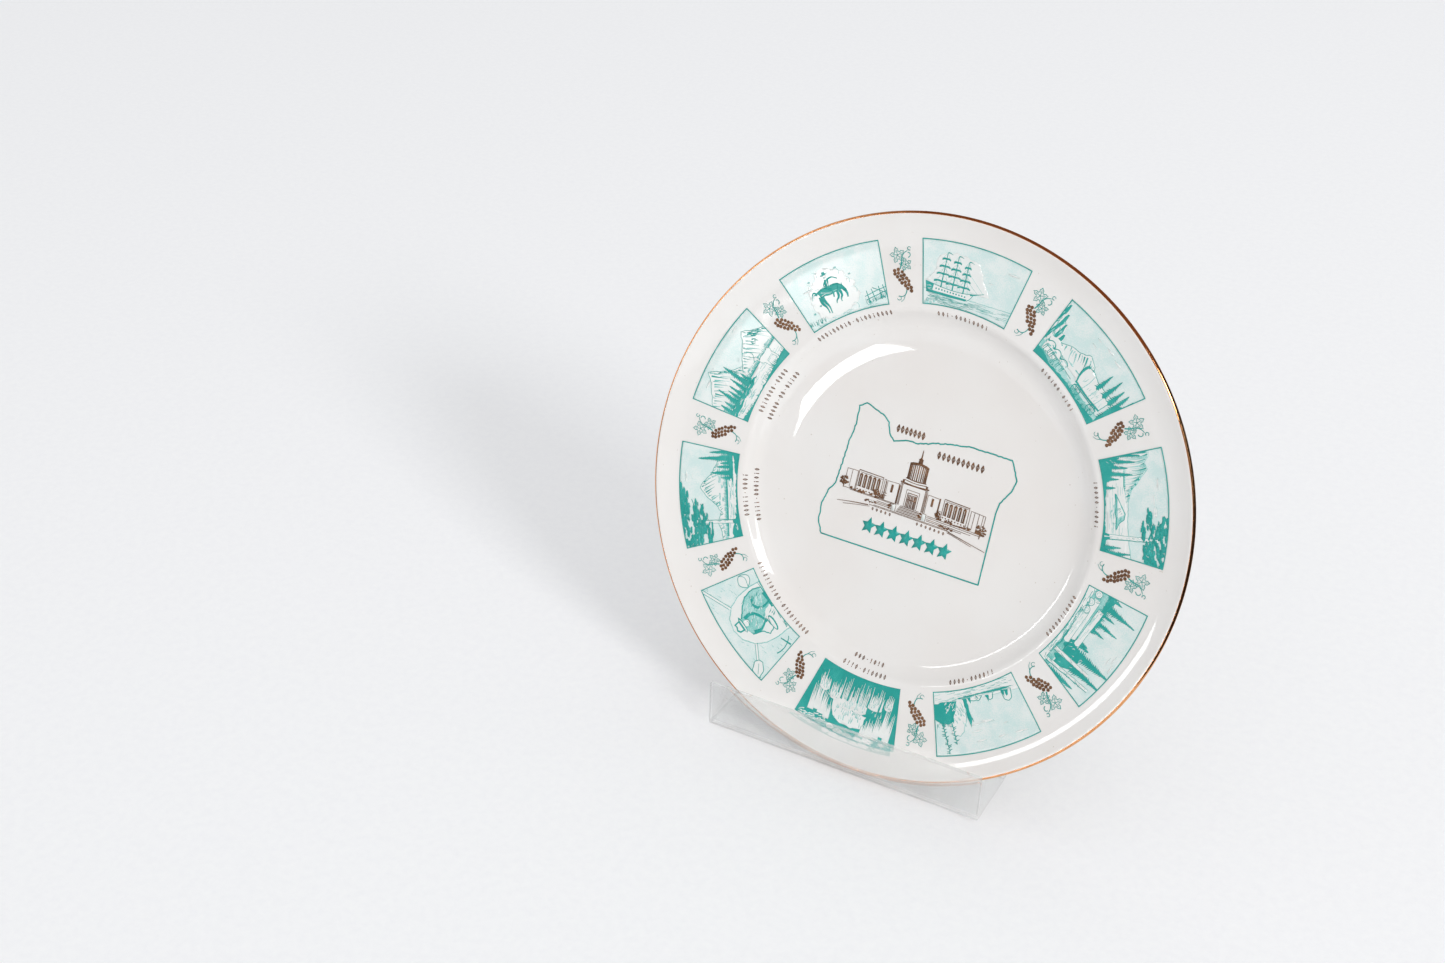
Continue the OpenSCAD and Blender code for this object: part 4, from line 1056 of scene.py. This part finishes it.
def draw_hall(ink):
    """A civic hall in pen: a ribbed drum on a stepped block, with long wings, trees and a drive."""
    base = -8.2

    def wall(x0, y0, x1, y1, lean=0.0, width=0.2):
        ink.line("dark", [(x0, y0), (x0, y1)], width)
        ink.line("dark", [(x0, y1), (x1, y1 + lean)], width)
        ink.line("dark", [(x1, y1 + lean), (x1, y0 + lean)], width)

    # Drum and its stepped foot
    for k in range(15):
        t = k / 14
        x = -2.3 - 4.1 * math.cos(math.pi * t)
        ink.line("dark", [(x, 4.6), (x, 11.6 + 0.7 * math.sin(math.pi * t))], 0.52 if k % 2 else 0.34)
    ink.fill("dark", [(-6.6, 11.3), (-5.6, 12.1), (-2.3, 12.6), (1, 12.1), (2, 11.3), (2, 10.8), (-2.3, 11.6),
                      (-6.6, 10.8)])
    ink.line("dark", [(-6.9, 4.9), (-2.3, 4.4), (2.3, 4.9)], 0.4)
    ink.line("dark", [(-7.4, 4), (-2.3, 3.4), (2.8, 4)], 0.3)
    ink.line("dark", [(-8.8, 2.8), (-2.3, 2.3), (4.2, 2.8)], 0.55)
    ink.line("dark", [(-7.6, 3), (-7.6, 4)], 0.9)
    ink.line("dark", [(3, 3), (3, 4)], 0.9)
    # Finial
    ink.fill("dark", [(-3.3, 12.4), (-3.1, 14.2), (-2.6, 14.8), (-2.5, 17.6), (-2.3, 18.4), (-2.1, 17.6), (-2, 14.8),
                      (-1.5, 14.2), (-1.3, 12.4)])
    ink.line("dark", [(-3.4, 14), (-1.2, 14)], 0.3)
    # Central block with its tall doorway
    wall(-8.4, base + 1.2, 3.8, 2.2)
    for x in (-7.9, -7.5, 2.9, 3.3):
        ink.line("dark", [(x, base + 1), (x, 2)], 0.24)
    wall(-5.2, base + 1, 0.6, 0.2)
    wall(-4.4, base + 1, -0.2, -1, 0, 0.34)
    for x in (-3.8, -3.2, -2.5, -1.9, -1.2, -0.7):
        ink.line("dark", [(x, base + 1), (x, -1.6)], 0.4)
    ink.line("dark", [(-4.2, -3.8), (-0.4, -3.8)], 0.3)
    # Side pavilions, each with a narrow dark window
    for x, dip in ((-11.6, 0), (7, -0.3)):
        wall(x - 2.6, base + 1 + dip, x + 2.6, 1.2 + dip, -0.2 if x > 0 else 0.2)
        ink.line("dark", [(x - 0.2, -3.2 + dip), (x - 0.2, 0.2 + dip)], 1.0)
        ink.line("dark", [(x + 2.9, base + 1), (x + 2.9, 1)], 0.5)
        ink.line("dark", [(x - 3.2, base + 1), (x - 3.2, 1)], 0.4)
    # Wings, the right one falling away a little in perspective
    for side, x0, x1, fall in ((-1, -27.6, -16.4, 0.3), (1, 11.8, 23, -1.0)):
        top = 1.9 if side < 0 else 1.4
        ink.line("dark", [(x0, top), (x1, top + fall * 0.2 - 0.2)], 0.34)
        ink.line("dark", [(x0 + 0.6, top - 0.8), (x1 - 0.4, top - 1)], 0.2)
        ink.line("dark", [(x1, top), (x1, base + 1.2)], 0.24)
        ink.line("dark", [(x0, top), (x0, base + 1.4)], 0.24)
        for k in range(5):
            x = x0 + 1.3 + k * 2.05
            low = -5.2 + (0.1 if side < 0 else -0.25) - (0.12 * k if side > 0 else 0)
            ink.fill("dark", [(x - 0.72, low), (x - 0.72, top - 1.6), (x, top - 1.1), (x + 0.72, top - 1.6),
                              (x + 0.72, low)])
            ink.line("white", [(x - 0.15, low + 0.3), (x - 0.1, top - 2)], 0.16)
        for k in range(8):
            ink.blob("dark", x0 + 0.8 + k * 1.4, -6.3 - (0.07 * k if side > 0 else 0), 0.7, 0.6)
    wall(-33, base + 1.4, -28, 1, 0.2)
    ink.line("dark", [(-30.6, base + 1.6), (-30.6, 1)], 0.16)
    wall(24, base + 0.2, 30.4, 0.2, -0.4)
    for x in (25.6, 27.6, 29.4):
        ink.line("dark", [(x, base + 0.6), (x, -0.1)], 0.2)
    # Links
    wall(-15.6, base + 1.2, -14.8, 1.4)
    for y in (-4.2, -5.2):
        ink.line("dark", [(-15.8, y), (-13.4, y)], 0.2)
        ink.line("dark", [(9.6, y), (11.6, y - 0.1)], 0.2)
    # Steps between two plinths, lawn lines and hedges
    for k in range(6):
        ink.line("dark", [(-6.4 - 0.3 * k, base + 0.9 - 0.56 * k), (2.2 + 0.3 * k, base + 0.8 - 0.56 * k)],
                 0.3 if k % 2 else 0.2)
    for x in (-9.2, 4.6):
        ink.fill("white", [(x - 0.9, base - 2.2), (x - 0.9, base + 0.8), (x + 0.9, base + 0.8),
                           (x + 0.9, base - 2.2)])
        wall(x - 0.9, base - 2.2, x + 0.9, base + 0.8)
        ink.blobs("dark", 5, (x - 2.6, base - 1.6, x - 1.4, base + 0.6), 1, 0.9)
    for y, x0, x1 in ((base + 0.9, -33, -9), (base + 0.5, -30, -9), (base - 0.4, -17, -10), (base - 1, -18, -10),
                      (base - 1.6, -19, -10),
                      (base + 0.3, 6, 31), (base - 0.4, 6, 30), (base - 1.2, 6, 26), (base - 1.8, 6, 22),
                      (base - 2.6, -18, 16), (base - 3, -20, 17)):
        ink.line("dark", ink.rough([(x0, y + 0.1), (x1, y - 0.35 if x0 > 0 else y)], 0.05, 2), 0.2)
    ink.blobs("dark", 18, (-31, base + 0.8, -17, base + 1.6), 1.3, 0.8)
    ink.blobs("dark", 22, (10, base + 0.2, 29, base + 1.1), 1.3, 0.8)
    ink.blobs("dark", 16, (-22, base - 1.9, -17.4, base - 1), 1.1, 0.6)
    ink.blobs("dark", 16, (12, base - 2.4, 18, base - 1.6), 1.1, 0.6)
    ink.blobs("white", 10, (-21.4, base - 1.4, -18, base - 1.1), 0.7, 0.35)
    for x, y, r in ((-33.2, -4.6, 3.8), (29.8, -6.6, 4.6), (-18, -5.2, 2.6), (10.4, -5.8, 2.2), (-15.4, -6, 1.6)):
        ink.line("dark", [(x, y - r * 0.75), (x, y)], 0.4)
        for _ in range(round(r * 7)):
            a, d = ink.draw.uniform(0, 6.28), r / 2 * math.sqrt(ink.draw.random())
            ink.blob("dark", x + d * math.cos(a), y + d * math.sin(a), 1.05, 0.9, 0.3, 7)
        ink.blobs("white", round(r * 1.5), (x - r * 0.25, y - r * 0.1, x + r * 0.3, y + r * 0.3), 0.3, 0.25)
    for points in ([(-20.4, -11.4), (-28, -12.4), (-34.4, -13.6)], [(-19.6, -11.8), (-27, -13.2), (-31.6, -14.2)],
                   [(16.4, -11.4), (25, -13), (33.6, -14.6)], [(16, -11.8), (22, -13), (27.4, -14.2)]):
        ink.line("dark", points, 0.36 if points[0][0] > 16.2 or points[0][0] < -20 else 0.2, 0.2)


def draw_star(ink, x, y, r, slant=0.14, tone="dark"):
    """A fat star that leans forward."""
    points = []
    for k in range(10):
        a = math.radians(36 * k)
        reach = r * (1 if k % 2 == 0 else 0.5)
        px, py = reach * math.sin(a), 1.15 * reach * math.cos(a)
        points.append((x + px + slant * py, y + py))
    ink.fill(tone, points)


def draw_lozenge(ink, x, y, w, h, line, turn=0.0):
    """An open lozenge with a bar through it."""
    c, s = math.cos(turn), math.sin(turn)

    def at(px, py):
        return (x + px * c - py * s, y + px * s + py * c)
    corners = [at(0, h / 2), at(w / 2, 0), at(0, -h / 2), at(-w / 2, 0)]
    for a, b in zip(corners, corners[1:] + corners[:1]):
        ink.line("dark", [a, b], line)
    ink.line("dark", [at(0, h * 0.3), at(0, -h * 0.3)], line)


def draw_bar(ink, x, y, turn):
    """A small upright with a dot over it."""
    c, s = math.cos(turn), math.sin(turn)
    ink.line("dark", [(x + 0.9 * s, y - 0.9 * c), (x - 0.25 * s, y + 0.25 * c)], 0.34)
    ink.blob("dark", x - 0.7 * s, y + 0.7 * c, 0.42, 0.42, 0)


TONES = {
    "white": (bare_glaze, "glazed_china"),
    "half": (teal_half_ink, "teal_print"),
    "dark": (teal_ink, "teal_print"),
}
FILM = 0.02             # thickness of a printed layer, in mm
GROUND_HEIGHT = 0.05    # height of a picture's tinted ground above the glaze, in mm
# Each group of drawings has its own row of random draws
PICTURE_SEED, SPRAY_SEED, CAPTION_SEED, CENTRE_SEED = 100, 300, 500, 700


# ---------------------------------------------------------------- settings, operators and panel

class PlateSizes(bpy.types.PropertyGroup):
    spin_steps: bpy.props.IntProperty(name="Spin steps", description="Facets round the plate", default=240, min=48)
    picture_half: bpy.props.FloatProperty(
        name="Picture half angle", description="Half of the angle that a rim picture spans",
        default=math.radians(12.86), subtype="ANGLE")
    picture_in: bpy.props.FloatProperty(name="Picture inner radius", description="In mm", default=80.4)
    picture_out: bpy.props.FloatProperty(name="Picture outer radius", description="In mm", default=106.8)
    frame_line: bpy.props.FloatProperty(name="Picture frame line", description="Width in mm", default=0.42)
    spray_r: bpy.props.FloatProperty(name="Grape spray radius", description="In mm", default=92)


class PlateColours(bpy.types.PropertyGroup):
    china: bpy.props.StringProperty(name="China", description="Ivory white of the glazed body, sRGB hex",
                                    default="#EFEDEA")
    gold: bpy.props.StringProperty(name="Gold", description="Fired gold of the edge, sRGB hex", default="#F0B07C")
    teal: bpy.props.StringProperty(name="Teal", description="Solid ink of the pictures, sRGB hex", default="#0F9F96")
    gold_brown: bpy.props.StringProperty(name="Gold-brown", description="Lustre ink, sRGB hex", default="#68472F")


class StandSizes(bpy.types.PropertyGroup):
    thickness: bpy.props.FloatProperty(name="Sheet", description="Thickness of the sheet", default=0.002,
                                       unit="LENGTH")
    polish: bpy.props.FloatProperty(
        name="Polished edge", description="Radius that flame polishing leaves", default=0.0003, unit="LENGTH")


class StudioSettings(bpy.types.PropertyGroup):
    key: bpy.props.FloatProperty(name="Key light", description="Power of the soft light at the right",
                                 default=86, unit="POWER")
    fill: bpy.props.FloatProperty(name="World", description="Strength of the pale surroundings", default=0.87)
    lens: bpy.props.FloatProperty(name="Lens", description="Focal length in mm on a 36 mm sensor", default=44.2)


class PLATE_OT_china(bpy.types.Operator):
    """Spins the white china body with its foot ring"""
    bl_idname = "plate.china"
    bl_label = "China plate"

    def execute(self, context):
        foot_r, foot_w, foot_h, foot_round = 67.5, 4, 2.6, 1
        under_slope, under_wall, under_r = 10.7, 34, 8
        start = (80.2, 10.4719)    # where the underside's flat rim meets its bend
        lean = math.radians(under_slope)
        under_c = (start[0] + under_r * math.sin(lean), start[1] - under_r * math.cos(lean))
        profile = [(0, FLOOR_Z)]
        profile += [(FLOOR_R * k / 5, FLOOR_Z) for k in range(1, 5)]
        profile += arc((FLOOR_R, FLOOR_Z + DISH_R), DISH_R, -90, DISH_SLOPE - 90, 8)
        profile += arc(COVE_C, COVE_R, DISH_SLOPE - 90, WALL_SLOPE - 90, 16)[1:]
        profile += arc(VERGE_C, VERGE_R, 90 + WALL_SLOPE, 90 + RIM_SLOPE, 14)
        profile += [(84, face_z(84)), (90, face_z(90)), (97, face_z(97))]
        profile += arc(FLARE_C, FLARE_R, RIM_SLOPE - 90, EDGE_SLOPE - 90, 14)
        profile += arc((EDGE_C, EDGE_Z), EDGE_R, 82 + EDGE_SLOPE, EDGE_SLOPE - 82, 14)
        profile += arc(FLARE_C, FLARE_R + 2 * EDGE_R, EDGE_SLOPE - 90, RIM_SLOPE - 90, 14)
        profile += arc(under_c, under_r, 90 + under_slope, 90 + under_wall, 8)
        profile += [(foot_r + 1.2, 3.502), (foot_r, 1.902)]
        profile += arc((foot_r - foot_round, foot_round), foot_round, 0, -90, 8)
        profile += arc((foot_r - foot_w + foot_round, foot_round), foot_round, -90, -180, 8)
        profile += arc((foot_r - foot_w - 1, foot_h - 1), 1, 0, 90, 6)
        profile += [(foot_r * k / 5, foot_h) for k in range(4, 0, -1)] + [(0, foot_h)]
        bm = spun(profile, context.scene.plate_sizes.spin_steps)
        finish_piece(bm, "china_body", china_glaze, "plate", ["china_plate"], sharp=50)
        return {"FINISHED"}


class PLATE_OT_gold(bpy.types.Operator):
    """Lays the gold line round the rounded edge"""
    bl_idname = "plate.gold"
    bl_label = "Gold edge"

    def execute(self, context):
        edge = (EDGE_C, EDGE_Z)
        front, back, tuck = 74, -42, 4    # degrees round the edge; the underside is tucked in a little
        outer = arc(edge, EDGE_OUT_R - 0.04, front, back, 22)
        inner = arc(edge, EDGE_R + 0.02, back - tuck, front + tuck, 22)
        bm = spun(outer + inner, 360)
        finish_piece(bm, "gold_edge", bright_gold, "plate", ["gold_rim_band"], sharp=60)
        return {"FINISHED"}


class PLATE_OT_pictures(bpy.types.Operator):
    """Draws the ten rim pictures, each as a tinted ground and layers of ink"""
    bl_idname = "plate.pictures"
    bl_label = "Rim pictures"

    def execute(self, context):
        sizes = context.scene.plate_sizes
        half, inner, outer = sizes.picture_half, sizes.picture_in, sizes.picture_out
        outline = (half, inner, outer)
        line = sizes.frame_line
        for index, name in enumerate(SCENES):
            place = on_rim(FIRST_PICTURE - PICTURE_PITCH * index)
            ground = [(GROUND_HEIGHT, [(-26, -4), (26, -4), (26, 28), (-26, 28)])]
            bm = lay_print(ground, place, outline, polar=inner)
            finish_piece(bm, "ground_" + name, teal_tint_ink, "plate",
                         ["vignette_" + name], sharp=30, thickness=FILM)
            ink = Ink(PICTURE_SEED + index)
            DRAWINGS[name](ink)
            for r in (outer - line / 2, inner + line / 2):
                ink.line("dark", [(r * math.sin(half * t / 12), r * math.cos(half * t / 12) - inner)
                                  for t in range(-12, 13)], line)
            for side in (-1, 1):
                a = side * (half - line / 2 / outer)
                ink.line("dark", [(r * math.sin(a), r * math.cos(a) - inner) for r in (inner, outer)], line)
            for tone, shapes in ink.shapes.items():
                maker, slot = TONES[tone]
                bm = lay_print(shapes, place, outline, polar=inner)
                finish_piece(bm, f"{tone}_{name}", maker, "plate", sharp=30, thickness=FILM)
        return {"FINISHED"}


class PLATE_OT_sprays(bpy.types.Operator):
    """Draws a spray of vine leaves and grapes between every two pictures"""
    bl_idname = "plate.sprays"
    bl_label = "Vine sprays"

    def execute(self, context):
        out = context.scene.plate_sizes.spray_r
        for index, name in enumerate(SCENES):
            place = on_rim(FIRST_PICTURE - PICTURE_PITCH * (index + 0.5))
            ink = Ink(SPRAY_SEED + index)
            draw_vine(ink)
            leaves = lay_print(ink.shapes["dark"], place, polar=out)
            finish_piece(leaves, "leaves_" + name, teal_ink, "plate",
                         ["vine_leaves_" + name], sharp=30, thickness=FILM)
            veins = lay_print(ink.shapes["half"], place, polar=out)
            finish_piece(veins, "veins_" + name, teal_half_ink, "plate", sharp=30, thickness=FILM)
            bm = bmesh.new()
            for row, count in enumerate(BUNCH_ROWS):
                for k in range(count):
                    off = k - (count - 1) / 2
                    x = BUNCH_TOP[0] + row * BUNCH_STEP[0] + off * GRAPE_STEP[0]
                    y = BUNCH_TOP[1] + row * BUNCH_STEP[1] + off * GRAPE_STEP[1]
                    r = GRAPE_R * ink.near(1, 0.06)
                    centre = Matrix.Translation((ink.near(x, 0.12), ink.near(y, 0.12), 0.06))
                    spot = centre @ Matrix.Diagonal((r, r, 0.1, 1))
                    bmesh.ops.create_uvsphere(bm, u_segments=12, v_segments=6, radius=1, matrix=spot)
            for vert in bm.verts:
                x, y, z = vert.co
                vert.co = place(Vector((math.atan2(x, y + out) * ARC_R, math.hypot(x, y + out), z)))
            finish_piece(bm, "grapes_" + name, bronze_ink, "plate",
                         ["grape_bunch_" + name], sharp=70)
        return {"FINISHED"}


class PLATE_OT_captions(bpy.types.Operator):
    """Sets the rows of small ornaments inside the pictures"""
    bl_idname = "plate.captions"
    bl_label = "Caption ornaments"

    def execute(self, context):
        for index, (name, rows) in enumerate(zip(SCENES, CAPTION_LINES)):
            ink = Ink(CAPTION_SEED + index)
            for row, groups in enumerate(rows):
                r = CAPTION_R - CAPTION_STEP * row
                lengths = [int(part) for part in groups.split(".")]
                breaks = [sum(lengths[:k]) + k - 1 for k in range(1, len(lengths))]
                count = sum(lengths) + len(breaks)
                for k in range(count):
                    a = -math.radians(CAPTION_PITCH * (k - (count - 1) / 2))
                    x, y = -r * math.sin(a), r * math.cos(a)
                    if k in breaks:
                        ink.blob("dark", x, y, 0.4, 0.4, 0)
                    elif ink.draw.random() < 0.3:
                        draw_bar(ink, x, y, a)
                    else:
                        draw_lozenge(ink, x, y, 0.85, 1.8, 0.2, a)
            bm = lay_print(ink.shapes["dark"], on_rim(FIRST_PICTURE - PICTURE_PITCH * index), polar=0)
            finish_piece(bm, "ornaments_" + name, bronze_ink, "plate",
                         ["caption_" + name], sharp=30, thickness=FILM)
        return {"FINISHED"}


class PLATE_OT_centre(bpy.types.Operator):
    """Draws the centre print: region outline, civic hall, star row and small ornaments"""
    bl_idname = "plate.centre"
    bl_label = "Centre print"

    def execute(self, context):
        def lay(name, draw, node, maker, slot, tones=("dark",)):
            ink = Ink(CENTRE_SEED)
            draw(ink)
            for tone in tones:
                tone_maker, tone_slot = (maker, slot) if tone == "dark" else TONES[tone]
                bm = lay_print(ink.shapes[tone], at_centre, cell=8)
                finish_piece(bm, name if tone == "dark" else name + "_" + tone, tone_maker, "plate",
                             [node] if tone == "dark" else (), sharp=30, thickness=FILM)

        def stars(ink):
            for k in range(7):
                draw_star(ink, -18.0 + 5.8 * k, -19.9, 3.35)

        def upper(ink):
            for x, y in [(-15.4 + 1.9 * k, 23.8) for k in range(7)] + [(4.6 + 2.15 * k, 18.2) for k in range(10)]:
                draw_lozenge(ink, x, y, 1.3, 3.2, 0.36)

        def lower(ink):
            for x in [-18 + 2 * k for k in range(5)] + [2.6 + 2 * k for k in range(7)]:
                draw_lozenge(ink, x, -12.4 - (0.02 * x if x > 0 else 0), 0.8, 1.3, 0.18)

        lay("region_line", draw_region, "region_outline", teal_ink, "teal_print")
        lay("civic_hall", draw_hall, "domed_building", bronze_ink, "gold_brown_print", ("dark", "white"))
        lay("stars", stars, "star_row", teal_ink, "teal_print")
        lay("upper_lozenges", upper, "upper_ornament", bronze_ink, "gold_brown_print")
        lay("lower_lozenges", lower, "lower_ornament", bronze_ink, "gold_brown_print")
        return {"FINISHED"}


class PLATE_OT_stand(bpy.types.Operator):
    """Folds the clear sheet that holds the plate"""
    bl_idname = "plate.stand"
    bl_label = "Clear stand"

    def execute(self, context):
        sizes = context.scene.stand_sizes
        t = sizes.thickness / MM
        # Middle line of the sheet from the lip's top to the rear foot, and the radius of each bend
        path = [(2.35869, 22.5), (0.855263, 1), (33, 1), (55.3987, 83.2099), (82, 0)]
        radii = {1: 2, 2: 2.5, 3: 3.5}
        ways = [((b[0] - a[0]) / math.dist(a, b), (b[1] - a[1]) / math.dist(a, b)) for a, b in zip(path, path[1:])]

        def side(off):
            points = []
            for i, (y, z) in enumerate(path):
                before, after = ways[max(i - 1, 0)], ways[min(i, len(ways) - 1)]
                k = off / (1 + before[0] * after[0] + before[1] * after[1])
                y -= (before[1] + after[1]) * k
                z += (before[0] + after[0]) * k
                if i == len(path) - 1:
                    y -= after[0] * z / after[1]
                    z = 0
                points.append((y, z))
            return points

        left, right = STAND_BOX[0].x / MM, STAND_BOX[1].x / MM
        outline = side(t / 2) + side(-t / 2)[::-1]
        bm = bmesh.new()
        verts = [bm.verts.new((left, FOOT_Y + y, z)) for y, z in outline]
        face = bm.faces.new(verts)
        made = bmesh.ops.extrude_face_region(bm, geom=[face])["geom"]
        bmesh.ops.translate(bm, verts=[g for g in made if isinstance(g, bmesh.types.BMVert)],
                            vec=(right - left, 0, 0))
        bmesh.ops.recalc_face_normals(bm, faces=bm.faces)
        last = len(outline) - 1
        for i, radius in radii.items():
            turn = math.acos(sum(a * b for a, b in zip(ways[i - 1], ways[i])))
            inner_is_left = ways[i - 1][0] * ways[i][1] - ways[i - 1][1] * ways[i][0] > 0
            for index, on_left in ((i, True), (last - i, False)):
                bend = radius - t / 2 if on_left == inner_is_left else radius + t / 2
                y, z = outline[index]
                edges = [e for e in bm.edges if all(
                    abs(v.co.y - FOOT_Y - y) < 1e-4 and abs(v.co.z - z) < 1e-4 for v in e.verts)]
                bmesh.ops.bevel(bm, geom=edges, offset=bend * math.tan(turn / 2), offset_type="OFFSET",
                                segments=14, profile=0.5, affect="EDGES", material=-1)
        rims = [e for e in bm.edges if len(e.link_faces) == 2 and e.calc_face_angle(0) > math.radians(60)]
        bmesh.ops.bevel(bm, geom=rims, offset=sizes.polish / MM, offset_type="OFFSET", segments=3, profile=0.5,
                        affect="EDGES", material=-1)
        bmesh.ops.scale(bm, vec=(MM, MM, MM), verts=bm.verts)
        finish_piece(bm, "bent_sheet", cast_acrylic, "stand", ["acrylic_stand"], sharp=35)
        return {"FINISHED"}


# The studio, with places and sizes in metres and powers in watts
FLOOR_HALF = 6
KEY_PLACE, KEY_TARGET, KEY_SIZE = (4.06, -1.72, 2.45), (0, 0, 0.1), 1.25
CAMERA_PLACE, CAMERA_TARGET = (0.23972, -0.56588, 0.49863), (-0.08534, 0, 0.09667)
# Strips that only mirrors see: name, place, target, width, height, power and roll in degrees
MIRROR_STRIPS = (
    ("well_strip", (-3.01, -11.61, 0.728), (-0.05, 0, 0.15), 1.35, 0.8, 53, 50),
    ("wall_strip", (1.31, -1.14, 1.34), (-0.06, 0, 0.08), 0.7, 0.75, 22, 0),
    ("cove_strip", (-1.35, -1.55, 0.78), (0.05, 0, 0.065), 0.17, 1.2, 5.5, -30),
)


class PLATE_OT_stage(bpy.types.Operator):
    """Sets the floor, the soft lights and the camera"""
    bl_idname = "plate.stage"
    bl_label = "Studio"

    def execute(self, context):
        scene = context.scene
        studio = scene.studio_settings
        bm = bmesh.new()
        bmesh.ops.create_grid(bm, x_segments=2, y_segments=2, size=FLOOR_HALF)
        floor = make_object(bm, "studio_floor", studio_paper)

        world = bpy.data.worlds.new("studio_air")
        world.use_nodes = True
        air = world.node_tree
        pale = air.nodes["Background"]
        pale.inputs["Color"].default_value = linear("#F4F5F7")
        pale.inputs["Strength"].default_value = studio.fill
        # Mirrors see a dim warm room with one pale wall at the left, so that the gilding has contrast
        way = add_node(air, "ShaderNodeTexCoord").outputs["Generated"]
        side = add_node(air, "ShaderNodeSeparateXYZ", {"Vector": way}).outputs["X"]
        wall = blend_colours(air, ramp(air, side, -0.8, -0.5), linear("#EFEAE6"), (0.19, 0.1, 0.055, 1))
        room = add_node(air, "ShaderNodeBackground", {"Color": wall})
        path = add_node(air, "ShaderNodeLightPath").outputs
        mirrored = add_node(air, "ShaderNodeMath", {0: path["Is Glossy Ray"], 1: path["Is Transmission Ray"]},
                            operation="SUBTRACT", use_clamp=True)
        both = add_node(air, "ShaderNodeMixShader", {0: mirrored.outputs[0], 1: pale.outputs[0], 2: room.outputs[0]})
        air.links.new(both.outputs[0], air.nodes["World Output"].inputs["Surface"])
        scene.world = world
        scene.view_settings.view_transform = "Standard"

        def softbox(name, place, target, width, height, power, roll=0, mirrored_only=False):
            light = bpy.data.lights.new(name, "AREA")
            light.shape = "RECTANGLE"
            light.size, light.size_y = width, height
            light.energy = power
            lamp = bpy.data.objects.new(name, light)
            lamp.location = place
            aim = (Vector(target) - Vector(place)).to_track_quat("-Z", "Y")
            lamp.rotation_euler = (aim.to_matrix() @ Matrix.Rotation(math.radians(roll), 3, "Z")).to_euler()
            lamp.visible_diffuse = not mirrored_only
            scene.collection.objects.link(lamp)

        def dark_card(name, corners):
            """A dark card that only mirrors see, as a studio keeps dark cloth beside gilding."""
            bm = bmesh.new()
            bmesh.ops.contextual_create(bm, geom=[bm.verts.new(corner) for corner in corners])
            card = make_object(bm, name, dark_cloth)
            card.visible_camera = card.visible_diffuse = card.visible_shadow = card.visible_transmission = False

        softbox("key", KEY_PLACE, KEY_TARGET, KEY_SIZE, KEY_SIZE, studio.key)
        for strip in MIRROR_STRIPS:
            softbox(*strip, mirrored_only=True)
        dark_card("dark_right_card", [(0.22, -0.3, 0.002), (0.22, 0.5, 0.002), (0.22, 0.5, 0.3), (0.22, -0.3, 0.3)])

        camera = bpy.data.cameras.new("camera")
        camera.sensor_width = 36
        camera.lens = studio.lens
        eye = bpy.data.objects.new("camera", camera)
        eye.location = CAMERA_PLACE
        look = Vector(CAMERA_TARGET) - eye.location
        eye.rotation_euler = look.to_track_quat("-Z", "Y").to_euler()
        scene.collection.objects.link(eye)
        scene.camera = eye
        return {"FINISHED"}


class PLATE_PT_panel(bpy.types.Panel):
    """Lists the plate's settings and steps"""
    bl_idname = "PLATE_PT_panel"
    bl_label = "Souvenir plate"
    bl_space_type = "VIEW_3D"
    bl_region_type = "UI"
    bl_category = "Plate"

    def draw(self, context):
        for name in SETTINGS:
            box = self.layout.box()
            settings = getattr(context.scene, name)
            for prop in settings.bl_rna.properties:
                if prop.identifier not in ("rna_type", "name"):
                    box.prop(settings, prop.identifier)
        for operator in OPERATORS:
            self.layout.operator(operator.bl_idname)


SETTINGS = {"plate_sizes": PlateSizes, "plate_colours": PlateColours, "stand_sizes": StandSizes,
            "studio_settings": StudioSettings}
OPERATORS = (PLATE_OT_stage, PLATE_OT_china, PLATE_OT_gold, PLATE_OT_pictures, PLATE_OT_sprays, PLATE_OT_captions,
             PLATE_OT_centre, PLATE_OT_stand)


def register():
    for cls in (*SETTINGS.values(), *OPERATORS, PLATE_PT_panel):
        bpy.utils.register_class(cls)
    for name, cls in SETTINGS.items():
        setattr(bpy.types.Scene, name, bpy.props.PointerProperty(type=cls))


def unregister():
    for name in SETTINGS:
        delattr(bpy.types.Scene, name)
    for cls in (PLATE_PT_panel, *OPERATORS[::-1], *SETTINGS.values()):
        bpy.utils.unregister_class(cls)


def main():
    register()
    for operator in OPERATORS:
        getattr(bpy.ops.plate, operator.bl_idname.split(".")[1])()


if __name__ == "__main__":
    main()
